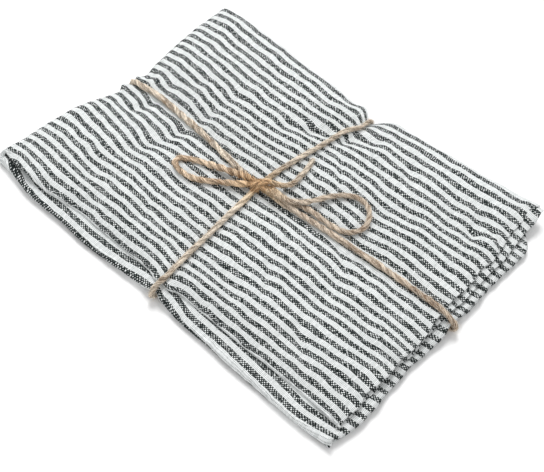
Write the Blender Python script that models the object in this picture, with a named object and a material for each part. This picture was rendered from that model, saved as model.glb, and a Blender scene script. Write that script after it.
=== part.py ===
"""A striped tea towel folded in quarters and tied crosswise with jute twine.

The cloth is 0.50 by 0.70 m.  It is folded once along its length, so that the two long edges
meet, and once across, so that the two hems meet: four layers in one back-and-forth section.
+X runs along the stripes from the crosswise fold to the hems, +Y from the lengthwise folds to
the long edges, +Z up.  The bundle lies on z = 0 with its origin under the middle of its box.

Places on the folded cloth are given by two shares.  "along" is -1 at the crosswise fold, 0 under
the crosswise twine and 1 at the hems.  "across" is -1 at the lengthwise folds, 0 under the
lengthwise twine and 1 at the long edges.
"""

from collections import namedtuple

import bpy
import numpy as np

MM = 0.001

# ---------------------------------------------------------------- driving dimensions, in metres
SHEET = 0.0009          # thickness of one layer of the cloth
HEM = 0.0015            # thickness at the turned hem and the long edge
HEM_DEPTH = 0.09        # share of the half length that the thick hem takes up
HEM_STEP = 0.027        # share of the half length over which the cloth thickens into the hem
TWINE = 0.0040          # diameter of the jute twine
CLEAR = 0.0005          # gap between the twine and the cloth that it presses on
GROOVE_HEIGHT = 0.00465 # underside of the cloth above the table, over one strand of twine
CROSS_HEIGHT = 0.0043   # how much higher the underside is where two strands cross
TOP_CENTRE = 0.0137     # top of the cloth where the twines cross
TOP_EXIT = 0.0104       # top of the cloth where a twine goes over a fold
TOP_EXIT_HEM = 0.0126   # top of the cloth where the twine goes over the hems
TOP_EDGE = 0.0094       # top of the cloth at the edges of the bundle
VALLEY_FLOOR = 0.0028   # half width of the flat strip that a strand lies in
VALLEY_SIDE = 0.0150    # how fast the cloth rises beside a strand
GROOVE_SIDE = 0.0085    # how fast the groove under the bundle closes
CROSS_SIDE = 0.0100     # how fast the raised crossing under the bundle falls away
BRIDGE_SIDE = 0.0090    # how fast the strand that makes the crossing falls away
EDGE_SHARPNESS = 7.0    # how late the top of the bundle falls towards its edges

# The plan of the bundle along its length: the far and near edges and the lengthwise twine.
Side = namedtuple("Side", "along far line near near_low far_low")
SIDES = [
    Side(-1.00, 125.5, 7.5, -112.0, -119.0, 122.0),
    Side(-0.90, 128.0, 9.0, -115.0, -123.0, 122.0),
    Side(-0.70, 125.0, 7.0, -117.0, -124.5, 120.0),
    Side(-0.45, 121.5, 3.0, -118.0, -125.0, 117.0),
    Side(-0.22, 118.0, -2.0, -118.5, -124.5, 114.0),
    Side(-0.08, 110.5, -5.0, -118.5, -122.5, 107.0),
    Side(0.00, 105.0, -6.0, -118.0, -122.0, 103.5),
    Side(0.06, 111.0, -6.0, -118.5, -123.0, 108.0),
    Side(0.15, 118.5, -5.5, -119.0, -125.0, 113.0),
    Side(0.35, 123.5, -3.0, -119.0, -126.5, 117.0),
    Side(0.60, 125.5, -0.5, -119.0, -127.5, 118.0),
    Side(0.85, 128.0, 1.0, -119.5, -128.5, 116.0),
    Side(1.00, 128.5, 1.0, -120.0, -126.5, 112.0),
]

# The plan of the bundle across its width: the fold, the crosswise twine and the four hems.
End = namedtuple("End", "across fold line hem_1 hem_2 hem_3 hem_4")
ENDS = [
    End(1.00, -166.5, 16.0, 166.5, 170.5, 172.0, 170.0),
    End(0.85, -166.0, 9.0, 164.0, 171.5, 180.0, 178.0),
    End(0.60, -165.0, 5.0, 167.0, 174.0, 181.5, 180.0),
    End(0.30, -160.0, -0.5, 169.5, 175.0, 181.5, 180.0),
    End(0.10, -155.5, -2.5, 170.0, 175.0, 181.0, 179.5),
    End(0.00, -153.0, -2.5, 171.5, 175.0, 180.5, 179.0),
    End(-0.10, -156.5, -1.5, 174.0, 175.5, 181.5, 180.0),
    End(-0.30, -167.0, 0.0, 175.0, 175.0, 182.0, 180.5),
    End(-0.60, -174.0, 2.5, 175.0, 175.0, 182.0, 180.5),
    End(-0.90, -176.0, 4.5, 175.5, 175.5, 182.0, 180.5),
    End(-1.00, -176.5, 5.5, 175.0, 175.0, 179.0, 178.0),
]

# The height of each of the four pillows between the twines, in millimetres.
Pillow = namedtuple("Pillow", "along across height")
PILLOWS = [
    Pillow(-1, -1, 16.0),
    Pillow(-1, 1, 16.8),
    Pillow(1, -1, 16.2),
    Pillow(1, 1, 17.0),
]

# Round swellings of the top: place, reach along X and Y, and height, in millimetres.
Swelling = namedtuple("Swelling", "x y reach_x reach_y height")
SWELLINGS = [
    Swelling(-150.0, -119.0, 24.0, 17.0, 4.2),
    Swelling(-184.0, -112.0, 14.0, 12.0, 1.5),
    Swelling(166.0, 126.0, 12.0, 10.0, 2.6),
    Swelling(158.0, 78.0, 12.0, 9.0, 1.4),
    Swelling(150.0, -45.0, 26.0, 14.0, 1.2),
    Swelling(-120.0, 60.0, 34.0, 28.0, 0.9),
]

# Long creases of the top: two ends, half width and height (a trough where negative), in millimetres.
Crease = namedtuple("Crease", "x1 y1 x2 y2 width height")
CREASES = [
    Crease(-152.0, 30.0, -138.0, 14.0, 7.0, 1.6),
    Crease(-138.0, 36.0, -126.0, -26.0, 6.0, -1.7),
    Crease(-118.0, 30.0, -106.0, -22.0, 8.0, 1.2),
    Crease(-98.0, 36.0, -84.0, -30.0, 7.0, -1.6),
    Crease(-70.0, -48.0, -30.0, -104.0, 8.0, -1.1),
    Crease(14.0, 92.0, 40.0, 106.0, 7.0, 1.3),
    Crease(20.0, 66.0, 44.0, 36.0, 6.0, -1.2),
    Crease(84.0, -8.0, 116.0, -46.0, 7.0, -1.4),
    Crease(92.0, -52.0, 124.0, -96.0, 8.0, -1.2),
    Crease(138.0, 84.0, 148.0, 60.0, 6.0, -1.5),
    Crease(126.0, -14.0, 158.0, -62.0, 8.0, 1.1),
    Crease(92.0, 70.0, 112.0, 22.0, 9.0, -0.9),
    Crease(-160.0, 104.0, -60.0, 88.0, 10.0, -0.8),
    Crease(150.0, -92.0, 176.0, -118.0, 7.0, -1.3),
]

# Stations of the cloth's mesh, as shares: close together by the twine and at the edges.
ALONG_STEPS = [0.014, 0.055, 0.11, 0.18, 0.28, 0.40, 0.53, 0.66, 0.78, 0.88, 0.95, 1.0]
ACROSS_STEPS = [0.020, 0.070, 0.14, 0.23, 0.34, 0.47, 0.60, 0.73, 0.84, 0.93, 1.0]
FOLD_STEPS = 6

# Routes of the loose ends of the bow: x, y and how far the strand is above the cloth, in mm.
Way = namedtuple("Way", "x y lift")
LEFT_LOOP = [
    Way(-8.2, -6.8, 4.5),
    Way(-17.0, -8.8, 3.9),
    Way(-25.0, -11.3, 3.3),
    Way(-34.0, -14.2, 2.4),
    Way(-43.0, -17.4, 1.4),
    Way(-53.0, -21.0, 0.6),
    Way(-61.0, -25.2, 0.2),
    Way(-66.5, -29.6, 0.1),
    Way(-66.0, -33.6, 0.0),
    Way(-60.5, -36.6, 0.0),
    Way(-52.0, -37.6, 0.0),
    Way(-43.0, -35.8, 0.0),
    Way(-35.0, -31.6, 0.2),
    Way(-27.5, -26.4, 0.6),
    Way(-20.0, -20.4, 1.4),
    Way(-13.2, -15.4, 2.4),
    Way(-8.1, -11.9, 3.3),
]
RIGHT_LOOP = [
    Way(6.4, -6.9, 4.6),
    Way(14.0, -6.2, 4.8),
    Way(21.0, -5.0, 4.6),
    Way(28.0, -2.6, 4.2),
    Way(33.5, 2.0, 3.4),
    Way(38.5, 8.5, 2.2),
    Way(43.5, 17.0, 1.2),
    Way(48.6, 25.0, 0.6),
    Way(55.0, 31.5, 0.2),
    Way(62.5, 35.4, 0.1),
    Way(70.0, 35.2, 0.0),
    Way(76.6, 31.8, 0.0),
    Way(81.4, 26.0, 0.0),
    Way(83.8, 19.4, 0.0),
    Way(82.4, 12.8, 0.0),
    Way(78.0, 7.6, 0.2),
    Way(72.6, 4.6, 0.4),
    Way(66.8, 3.4, 0.5),
    Way(56.0, 3.0, 0.6),
    Way(46.0, 3.2, 0.4),
    Way(37.0, 2.2, 0.2),
    Way(29.0, -0.4, 0.0),
    Way(21.0, -1.1, 0.3),
    Way(14.0, -1.5, 0.9),
    Way(7.4, -1.8, 2.2),
]
FREE_END = [
    Way(3.2, -0.6, 5.4),
    Way(8.6, 2.4, 4.0),
    Way(13.2, 6.0, 2.8),
    Way(15.6, 10.4, 1.4),
    Way(16.0, 16.0, 0.5),
    Way(15.0, 25.0, 0.1),
    Way(13.2, 33.4, 0.0),
    Way(9.8, 44.0, 0.0),
]

# How the twine turns over each edge of the bundle: its place across the edge and its height, in mm.
Turn = namedtuple("Turn", "place height")
OVER_HEMS = [
    Turn(163.4, 15.6),
    Turn(170.4, 15.3),
    Turn(175.6, 13.8),
    Turn(179.9, 11.3),
    Turn(183.1, 8.7),
    Turn(183.9, 6.2),
    Turn(183.2, 3.9),
    Turn(180.6, 2.4),
    Turn(174.0, 2.25),
]
OVER_FAR = [
    Turn(98.0, 14.1),
    Turn(102.6, 13.9),
    Turn(106.9, 12.7),
    Turn(109.2, 9.9),
    Turn(109.6, 6.8),
    Turn(108.1, 4.0),
    Turn(104.4, 2.35),
    Turn(96.0, 2.25),
]
OVER_NEAR = [
    Turn(-112.0, 13.6),
    Turn(-117.6, 13.4),
    Turn(-123.0, 12.3),
    Turn(-126.5, 9.8),
    Turn(-127.8, 6.8),
    Turn(-127.1, 4.3),
    Turn(-123.8, 2.45),
    Turn(-116.0, 2.25),
]
OVER_FOLD = [
    Turn(-150.0, 13.9),
    Turn(-155.2, 13.4),
    Turn(-159.8, 11.6),
    Turn(-161.6, 8.1),
    Turn(-160.5, 4.5),
    Turn(-156.2, 2.45),
    Turn(-149.0, 2.25),
]

# Stations of the twine between its turns, as shares along or across the bundle.
FOLD_STATIONS = [-0.034, -0.09, -0.15, -0.23, -0.34, -0.46, -0.58, -0.70, -0.80, -0.88]
HEM_STATIONS = [0.80, 0.68, 0.56, 0.44, 0.33, 0.23, 0.14, 0.09, 0.047]
FAR_STATIONS = [0.044, 0.09, 0.16, 0.28, 0.42, 0.56, 0.70, 0.82]
NEAR_STATIONS = [-0.86, -0.74, -0.60, -0.46, -0.32, -0.19, -0.11, -0.058]
BELOW_LENGTHWISE = [-0.74, -0.60, -0.46, -0.33, -0.19, -0.05, 0.08, 0.22, 0.35, 0.49, 0.62, 0.76]
BELOW_CROSSWISE = [0.75, 0.60, 0.45, 0.32, 0.22, 0.15, 0.10, 0.06, 0.02,
                   -0.02, -0.06, -0.10, -0.15, -0.22, -0.34, -0.48, -0.62, -0.78]
EXIT_ACROSS = 0.97      # where across the bundle the crosswise twine goes round its edges

KNOT_RADII = (6.6, 5.2, 3.5)        # half sizes of the knot, in millimetres
KNOT_CENTRE = (-1.0, -7.0, 5.6)     # its place, and its height above the cloth, in millimetres
KNOT_TURNS = 3                      # turns of twine that show round the knot
KNOT_RIDGE = 0.07                   # how much each turn stands out, as a share of the radius
KNOT_STEPS = (14, 22)               # rings and points of the knot's mesh

BOTTOM = 2.25 * MM                  # height of the middle of the twine under the bundle
BRIDGE = 0.00415                    # how far the crosswise strand rises over the lengthwise one
TWINE_SPACING = 0.0080              # distance between the points along a straight tube of twine
LONG_SPACING = 0.0104               # the same along the lengthwise strand
TURN_DENSITY = 0.014                # extra length that a turn of one radian counts for in spacing them


# ---------------------------------------------------------------- curves through named tables
def column(rows, name):
    """One column of a table of named rows, as an array."""
    return np.array([getattr(row, name) for row in rows], dtype=float)


def smooth(places, values, at):
    """A cubic curve through the table's points, whose slopes come from each point's neighbours."""
    order = np.argsort(places)
    places = np.asarray(places, dtype=float)[order]
    values = np.asarray(values, dtype=float)[order]
    slopes = np.gradient(values, places)
    at = np.clip(at, places[0], places[-1])
    index = np.clip(np.searchsorted(places, at) - 1, 0, len(places) - 2)
    step = places[index + 1] - places[index]
    share = (at - places[index]) / step
    rise = values[index + 1] - values[index]
    start = slopes[index] * step
    end = slopes[index + 1] * step
    bend = (start + end - 2 * rise) * share + (3 * rise - 2 * start - end)
    return values[index] + share * (start + share * bend)


def side(name, along):
    return MM * smooth(column(SIDES, "along"), column(SIDES, name), along)


def end(name, across):
    return MM * smooth(column(ENDS, "across"), column(ENDS, name), across)


def mix(first, second, share):
    return first + (second - first) * share


def spread(share, low, middle, high):
    """The place at a share from -1 to 1, between a low and a high edge that meet at the middle."""
    return middle + np.where(share < 0, middle - low, high - middle) * share


# ---------------------------------------------------------------- the plan and the height of the bundle
def plan(along, across, upper, outer):
    """X and Y of the cloth.  upper is 1 in the upper pair of layers and 0 in the lower pair,
    outer is 1 in the top and bottom layers and 0 in the two between them."""
    hem_upper = mix(end("hem_2", across), end("hem_1", across), outer)
    hem_lower = mix(end("hem_3", across), end("hem_4", across), outer)
    hem = mix(hem_lower, hem_upper, upper)
    near = mix(side("near_low", along), side("near", along), upper)
    far = mix(side("far_low", along), side("far", along), upper)
    x = spread(along, end("fold", across), end("line", across), hem)
    y = spread(across, near, side("line", along), far)
    return x, y


def bell(distance, floor, reach):
    """1 within the floor, then a soft fall to 0 over about two reaches."""
    beyond = np.maximum(distance - floor, 0) / reach
    return np.maximum(np.exp(-beyond ** 2) - 0.01, 0) / 0.99


def offsets(along, across, x, y):
    """Distances of a place from the crosswise and from the lengthwise twine."""
    return np.abs(x - end("line", across)), np.abs(y - side("line", along))


def underside(along, across, x, y):
    """Height of the bundle's underside: flat on the table but for the grooves over the twine."""
    from_cross, from_long = offsets(along, across, x, y)
    groove = np.maximum(bell(from_cross, VALLEY_FLOOR, GROOVE_SIDE), bell(from_long, VALLEY_FLOOR, GROOVE_SIDE))
    crossing = bell(np.hypot(from_cross, from_long), 2 * VALLEY_FLOOR, CROSS_SIDE)
    return GROOVE_HEIGHT * groove + CROSS_HEIGHT * crossing


def creases(x, y):
    """The swellings and the long creases of the top, added up."""
    total = np.zeros(np.broadcast(x, y).shape)
    for lump in SWELLINGS:
        away = ((x / MM - lump.x) / lump.reach_x) ** 2 + ((y / MM - lump.y) / lump.reach_y) ** 2
        total = total + lump.height * np.exp(-away)
    for line in CREASES:
        run = np.array([line.x2 - line.x1, line.y2 - line.y1])
        length = np.hypot(*run)
        px = x / MM - line.x1
        py = y / MM - line.y1
        share = (px * run[0] + py * run[1]) / length ** 2
        beside = (px * run[1] - py * run[0]) / length
        past = np.maximum(np.abs(share - 0.5) - 0.35, 0) / 0.25
        total = total + line.height * np.exp(-(beside / line.width) ** 2 - past ** 2)
    return MM * total


def top(along, across, x, y):
    """Height of the bundle's top: four pillows, valleys under the twine and lower edges."""
    from_cross, from_long = offsets(along, across, x, y)
    reach = np.maximum(np.abs(along), np.abs(across))
    exit_height = np.where(along > np.abs(across), TOP_EXIT_HEM, TOP_EXIT)
    valley = mix(TOP_CENTRE, exit_height, np.clip(reach, 0, 1) ** 3)
    pillow = 0
    for corner in PILLOWS:
        pillow = pillow + corner.height * MM * (1 + corner.along * along) * (1 + corner.across * across) / 4
    fall_along = np.abs(along) ** EDGE_SHARPNESS
    fall_across = np.abs(across) ** EDGE_SHARPNESS
    fall = fall_along + fall_across - fall_along * fall_across
    crest = mix(pillow, TOP_EDGE, fall)
    rise = (1 - bell(from_cross, VALLEY_FLOOR, VALLEY_SIDE)) * (1 - bell(from_long, VALLEY_FLOOR, VALLEY_SIDE))
    return mix(valley, crest + creases(x, y), rise)


def locate(x, y):
    """The shares along and across of a place on the top layer, found by a few corrections."""
    along = np.zeros_like(x)
    across = np.zeros_like(x)
    for _ in range(12):
        line = side("line", along)
        away = y - line
        across = np.clip(away / np.where(away < 0, line - side("near", along), side("far", along) - line), -1, 1)
        middle = end("line", across)
        away = x - middle
        along = np.clip(away / np.where(away < 0, middle - end("fold", across), end("hem_1", across) - middle), -1, 1)
    return along, across


def top_at(x, y):
    along, across = locate(x, y)
    return top(along, across, x, y)


# ---------------------------------------------------------------- the towel
def both_ways(steps):
    """Stations from 1 down to -1."""
    return np.concatenate([np.array(steps)[::-1], -np.array(steps)])


def there_and_back(steps):
    """Stations of a sheet that runs from 1 to -1, turns round a fold and runs back to 1.

    Returns the share of the run and the angle round the fold, 0 before it and pi after it."""
    run = both_ways(steps)
    turn = np.pi * np.arange(1, FOLD_STEPS) / FOLD_STEPS
    share = np.concatenate([run, -np.ones(FOLD_STEPS - 1), run[::-1]])
    angle = np.concatenate([np.zeros(len(run)), turn, np.full(len(run), np.pi)])
    return share, angle


def cloth_surface():
    """The middle of the cloth: a pair of layers joined by the lengthwise fold, carried along a
    path that turns round the crosswise fold.  Returns points and thicknesses on a grid."""
    along, turn_along = there_and_back(ALONG_STEPS)
    across, turn_across = there_and_back(ACROSS_STEPS)
    along, turn_along = along[:, None], turn_along[:, None]
    across, turn_across = across[None, :], turn_across[None, :]
    upper = (1 + np.cos(turn_along)) / 2
    outer = (1 + np.cos(turn_across)) / 2
    x, y = plan(along, across, upper, outer)
    x, y, along, across = np.broadcast_arrays(x, y, along, across)
    hemmed = np.clip((along - 1 + HEM_DEPTH) / HEM_STEP, 0, 1)
    thick = mix(SHEET, HEM, hemmed)
    low = underside(along, across, x, y)
    high = top(along, across, x, y)
    spacing = (high - low - thick) / 3
    pair = spacing + spacing / 2 * np.cos(turn_across)
    z = (high + low) / 2 + np.cos(turn_along) * pair
    x = x - np.sin(turn_along) * pair
    y = y - np.sin(turn_across) * spacing / 2
    return np.stack([x, y, z], axis=-1), thick


def thicken(points, thick):
    """A closed solid: the sheet moved half its thickness to either side, with a rim between."""
    run_u = np.gradient(points, axis=0)
    run_v = np.gradient(points, axis=1)
    normal = np.cross(run_u, run_v)
    normal /= np.linalg.norm(normal, axis=-1, keepdims=True)
    shift = normal * thick[..., None] / 2
    rows, columns = thick.shape
    vertices = np.concatenate([(points + shift).reshape(-1, 3), (points - shift).reshape(-1, 3)])
    index = np.arange(rows * columns).reshape(rows, columns)
    back = index + rows * columns
    faces = [quads(index), quads(back)[:, ::-1]]
    for edge, other in ((index[0], back[0]), (index[:, -1], back[:, -1]),
                        (index[-1, ::-1], back[-1, ::-1]), (index[::-1, 0], back[::-1, 0])):
        faces.append(np.stack([edge[:-1], edge[1:], other[1:], other[:-1]], axis=-1))
    return vertices, np.concatenate(faces)


def quads(index):
    """The faces of a grid of vertices."""
    return np.stack([index[:-1, :-1], index[1:, :-1], index[1:, 1:], index[:-1, 1:]], axis=-1).reshape(-1, 4)


# ---------------------------------------------------------------- the twine
def along_table(points, spacing):
    """Points of a smooth curve through the table's points, closer together where it turns."""
    points = np.asarray(points, dtype=float)
    chord = np.concatenate([[0], np.cumsum(np.linalg.norm(np.diff(points, axis=0), axis=1))])
    fine = np.linspace(0, chord[-1], 40 * len(points))
    curve = np.stack([smooth(chord, points[:, axis], fine) for axis in range(3)], axis=1)
    runs = np.diff(curve, axis=0)
    lengths = np.linalg.norm(runs, axis=1)
    heading = runs / lengths[:, None]
    turns = np.concatenate([np.linalg.norm(np.diff(heading, axis=0), axis=1), [0]])
    progress = np.concatenate([[0], np.cumsum(lengths + TURN_DENSITY * turns)])
    count = max(int(round(progress[-1] / spacing)), 4) + 1
    even = np.linspace(0, progress[-1], count)
    return np.stack([np.interp(even, progress, curve[:, axis]) for axis in range(3)], axis=1)


def lying(ways):
    """Points of a strand that lies on the cloth, lifted as its table says."""
    x = MM * column(ways, "x")
    y = MM * column(ways, "y")
    z = top_at(x, y) + TWINE / 2 + CLEAR + MM * column(ways, "lift")
    return np.stack([x, y, z], axis=1)


def lengthwise_route():
    """From the knot over the crosswise fold, under the bundle, over the hems and back."""
    def on_top(along):
        along = np.array(along)
        x = spread(along, end("fold", 0), end("line", 0), end("hem_1", 0))
        y = side("line", along)
        z = top(along, 0 * along, x, y) + TWINE / 2 + CLEAR
        return np.stack([x, y, z], axis=1)

    def over(rows, along):
        y = np.full(len(rows), side("line", np.array(along)))
        return np.stack([MM * column(rows, "place"), y, MM * column(rows, "height")], axis=1)

    bottom = np.array(BELOW_LENGTHWISE)
    x = spread(bottom, end("fold", 0), end("line", 0), end("hem_4", 0))
    below = np.stack([x, side("line", bottom), np.full(len(x), BOTTOM)], axis=1)
    there = [on_top(FOLD_STATIONS), over(OVER_FOLD, -1), below]
    return np.concatenate(there + [over(OVER_HEMS[::-1], 1), on_top(HEM_STATIONS)])


def crosswise_route():
    """From the knot over the long edges, under the bundle, over the lengthwise folds and back."""
    def on_top(across):
        across = np.array(across)
        x = end("line", across)
        y = spread(across, side("near", 0), side("line", 0), side("far", 0))
        z = top(0 * across, across, x, y) + TWINE / 2 + CLEAR
        return np.stack([x, y, z], axis=1)

    def over(rows, across):
        x = np.full(len(rows), end("line", np.array(across)))
        return np.stack([x, MM * column(rows, "place"), MM * column(rows, "height")], axis=1)

    bottom = np.array(BELOW_CROSSWISE)
    y = spread(bottom, side("near_low", 0), side("line", 0), side("far_low", 0))
    hump = BRIDGE * bell(np.abs(y - side("line", 0)), 2 * VALLEY_FLOOR, BRIDGE_SIDE)
    below = np.stack([end("line", bottom), y, BOTTOM + hump], axis=1)
    there = [on_top(FAR_STATIONS), over(OVER_FAR, EXIT_ACROSS), below]
    return np.concatenate(there + [over(OVER_NEAR[::-1], -EXIT_ACROSS), on_top(NEAR_STATIONS)])


def knot_surface():
    """An egg-shaped knot whose radius swells with each slanting turn of the twine."""
    rings, points = KNOT_STEPS
    polar = np.linspace(0, np.pi, rings)[1:-1, None]
    round_ = np.linspace(0, 2 * np.pi, points, endpoint=False)[None, :]
    ridge = 1 + KNOT_RIDGE * np.cos(KNOT_TURNS * 2 * polar + round_) * np.sin(polar)
    centre = MM * np.array(KNOT_CENTRE)
    centre[2] += top_at(centre[:1], centre[1:2])[0]
    radii = MM * np.array(KNOT_RADII)
    body = np.stack([np.cos(polar) * np.ones_like(round_) * ridge,
                     np.sin(polar) * np.cos(round_) * ridge,
                     np.sin(polar) * np.sin(round_) * ridge], axis=-1) * radii + centre
    tip = centre + [radii[0], 0, 0]
    tail = centre - [radii[0], 0, 0]
    vertices = np.concatenate([body.reshape(-1, 3), [tip, tail]])
    index = np.arange((rings - 2) * points).reshape(rings - 2, points)
    wrapped = np.concatenate([index, index[:, :1]], axis=1)
    faces = [face.tolist() for face in quads(wrapped)]
    first, last = len(vertices) - 2, len(vertices) - 1
    for a, b in zip(wrapped[0, :-1], wrapped[0, 1:]):
        faces.append([first, int(a), int(b)])
    for a, b in zip(wrapped[-1, :-1], wrapped[-1, 1:]):
        faces.append([last, int(b), int(a)])
    return vertices, faces


# ---------------------------------------------------------------- objects and materials
def material(name, colour, roughness):
    made = bpy.data.materials.new(name)
    made.use_nodes = True
    shader = made.node_tree.nodes["Principled BSDF"]
    shader.inputs["Base Color"].default_value = (*colour, 1)
    shader.inputs["Roughness"].default_value = roughness
    shader.inputs["Metallic"].default_value = 0
    return made


def mesh_object(name, vertices, faces, finish):
    mesh = bpy.data.meshes.new(name)
    mesh.from_pydata([tuple(map(float, v)) for v in vertices], [], [tuple(map(int, f)) for f in faces])
    mesh.validate()
    mesh.shade_smooth()
    mesh.materials.append(finish)
    made = bpy.data.objects.new(name, mesh)
    bpy.context.collection.objects.link(made)
    return made


def twine_object(name, points, finish):
    """A plain tube of twine on a poly spline, with filled ends."""
    curve = bpy.data.curves.new(name, "CURVE")
    curve.dimensions = "3D"
    curve.bevel_depth = TWINE / 2
    curve.bevel_resolution = 2
    curve.use_fill_caps = True
    spline = curve.splines.new("POLY")
    spline.points.add(len(points) - 1)
    spline.points.foreach_set("co", np.column_stack([points, np.ones(len(points))]).ravel())
    curve.materials.append(finish)
    made = bpy.data.objects.new(name, curve)
    bpy.context.collection.objects.link(made)
    return made


def make_towel():
    points, thick = cloth_surface()
    vertices, faces = thicken(points, thick)
    mesh_object("towel", vertices, faces, material("striped_cotton", (0.47, 0.50, 0.50), 0.9))


def make_twine():
    jute = material("jute", (0.62, 0.43, 0.26), 0.85)
    twine_object("twine_lengthwise", along_table(lengthwise_route(), LONG_SPACING), jute)
    twine_object("twine_crosswise", along_table(crosswise_route(), TWINE_SPACING), jute)
    twine_object("bow_left", along_table(lying(LEFT_LOOP), TWINE_SPACING), jute)
    twine_object("bow_right", along_table(lying(RIGHT_LOOP), TWINE_SPACING), jute)
    twine_object("twine_end", along_table(lying(FREE_END), TWINE_SPACING), jute)
    mesh_object("twine_knot", *knot_surface(), jute)


for old in list(bpy.data.objects):
    bpy.data.objects.remove(old, do_unlink=True)
make_towel()
make_twine()
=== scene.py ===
"""Looks of a striped tea towel, folded in quarters and tied crosswise with jute twine.

The cloth is one sheet on a grid of flat-cloth coordinates, carried round its two folds, with its
creases listed in tables.  Its stripes and its plain weave follow the sheet's own UV map, in metres.
The twine is swept along the same routes as the solids, with two plies that turn round each other.
Places on the folded cloth are given by two shares.  "along" is -1 at the crosswise fold, 0 under
the crosswise twine and 1 at the hems.  "across" is -1 at the lengthwise folds, 0 under the
lengthwise twine and 1 at the long edges.
"""

import math
from collections import namedtuple

import bpy
import numpy as np
from bpy.props import FloatProperty, FloatVectorProperty, IntProperty, PointerProperty
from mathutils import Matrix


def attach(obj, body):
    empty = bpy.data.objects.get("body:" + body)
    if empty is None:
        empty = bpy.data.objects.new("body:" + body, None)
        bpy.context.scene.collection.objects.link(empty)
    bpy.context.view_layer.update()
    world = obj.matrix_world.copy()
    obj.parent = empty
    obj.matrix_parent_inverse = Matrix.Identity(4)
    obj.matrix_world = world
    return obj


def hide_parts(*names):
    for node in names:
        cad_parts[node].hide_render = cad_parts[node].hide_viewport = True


bl_info = {
    "name": "Tied tea towel",
    "version": (1, 0, 0),
    "blender": (4, 5, 0),
    "location": "3D View > Sidebar > Tea towel",
    "description": "Builds a folded, tied tea towel with woven stripes and jute twine",
    "category": "Add Mesh",
}

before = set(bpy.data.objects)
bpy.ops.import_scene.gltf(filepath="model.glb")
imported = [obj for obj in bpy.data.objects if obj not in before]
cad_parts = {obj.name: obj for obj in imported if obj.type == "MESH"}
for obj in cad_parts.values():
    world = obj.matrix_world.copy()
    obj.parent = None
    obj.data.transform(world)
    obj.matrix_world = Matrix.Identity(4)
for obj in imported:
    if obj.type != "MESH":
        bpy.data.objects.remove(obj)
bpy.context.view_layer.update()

BODY = "root"
MM = 0.001

# ---- sizes shared with the solids
FLAT_WIDTH = 0.50        # the cloth, cut flat
FLAT_LENGTH = 0.70
TWINE = 0.0040           # diameter of the twine
CLEAR = 0.0005           # gap between twine and cloth in the solids
GROOVE_HEIGHT = 0.00465  # underside of the cloth above the table, over one strand
CROSS_HEIGHT = 0.0043    # how much higher it is where two strands cross
TOP_CENTRE = 0.0137      # top of the cloth where the strands cross
TOP_EXIT = 0.0104        # top of the cloth where a strand goes over a fold
TOP_EXIT_HEM = 0.0126    # top of the cloth where the strand goes over the hems
TOP_EDGE = 0.0094        # top of the cloth at the edges of the bundle
VALLEY_FLOOR = 0.0028    # half width of the flat strip that a strand lies in
VALLEY_SIDE = 0.0150     # how fast the cloth rises beside a strand
GROOVE_SIDE = 0.0085     # how fast the groove under the bundle closes
CROSS_SIDE = 0.0100      # how fast the raised crossing under the bundle falls away
BRIDGE_SIDE = 0.0090     # how fast the strand that makes the crossing falls away
BRIDGE = 0.00415         # how far the crosswise strand rises over the lengthwise one
BOTTOM = 0.00225         # height of the middle of the twine under the bundle
EDGE_SHARPNESS = 7.0     # how late the top of the bundle falls towards its edges


def table(names, rows):
    """Rows of numbers as a list of rows with named columns."""
    kind = namedtuple("Row", names)
    return [kind(*row) for row in rows]


# The plan of the bundle along its length: the far and near edges and the lengthwise twine.
SIDES = table("along far line near near_low far_low", [
    (-1, 125.5, 7.5, -112, -119, 122), (-0.9, 128, 9, -115, -123, 122),
    (-0.7, 125, 7, -117, -124.5, 120), (-0.45, 121.5, 3, -118, -125, 117),
    (-0.22, 118, -2, -118.5, -124.5, 114), (-0.08, 110.5, -5, -118.5, -122.5, 107),
    (0, 105, -6, -118, -122, 103.5), (0.06, 111, -6, -118.5, -123, 108),
    (0.15, 118.5, -5.5, -119, -125, 113), (0.35, 123.5, -3, -119, -126.5, 117),
    (0.6, 125.5, -0.5, -119, -127.5, 118), (0.85, 128, 1, -119.5, -128.5, 116),
    (1, 128.5, 1, -120, -126.5, 112)])

# The plan of the bundle across its width: the fold, the crosswise twine and the four hems.
ENDS = table("across fold line hem_1 hem_2 hem_3 hem_4", [
    (1, -166.5, 16, 166.5, 170.5, 172, 170), (0.85, -166, 9, 164, 171.5, 180, 178),
    (0.6, -165, 5, 167, 174, 181.5, 180), (0.3, -160, -0.5, 169.5, 175, 181.5, 180),
    (0.1, -155.5, -2.5, 170, 175, 181, 179.5), (0, -153, -2.5, 171.5, 175, 180.5, 179),
    (-0.1, -156.5, -1.5, 174, 175.5, 181.5, 180), (-0.3, -167, 0, 175, 175, 182, 180.5),
    (-0.6, -174, 2.5, 175, 175, 182, 180.5), (-0.9, -176, 4.5, 175.5, 175.5, 182, 180.5),
    (-1, -176.5, 5.5, 175, 175, 179, 178)])

# The height of each of the four pillows between the twines, in millimetres.
PILLOWS = table("along across height", [
    (-1, -1, 16), (-1, 1, 16.8), (1, -1, 16.2), (1, 1, 17)])

# Round swellings of the top: place, reach along X and Y, and height, in millimetres.
SWELLING = "x y reach_x reach_y height"
SWELLINGS = table(SWELLING, [
    (-150, -119, 24, 17, 4.2), (-184, -112, 14, 12, 1.5), (166, 126, 12, 10, 2.6),
    (158, 78, 12, 9, 1.4), (150, -45, 26, 14, 1.2), (-120, 60, 34, 28, 0.9)])

# Where the two pairs of layers stand apart, so that a dark mouth shows at the edge: the same
# terms, with the share of the bundle's height that the mouth takes up instead of a height.
MOUTHS = table(SWELLING, [
    (-148, -116, 11, 14, 0.26), (-112, -119, 7, 9, 0.14), (-40, -120, 16, 9, 0.07),
    (60, -122, 24, 9, 0.08), (168, 120, 16, 14, 0.42)])

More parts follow.
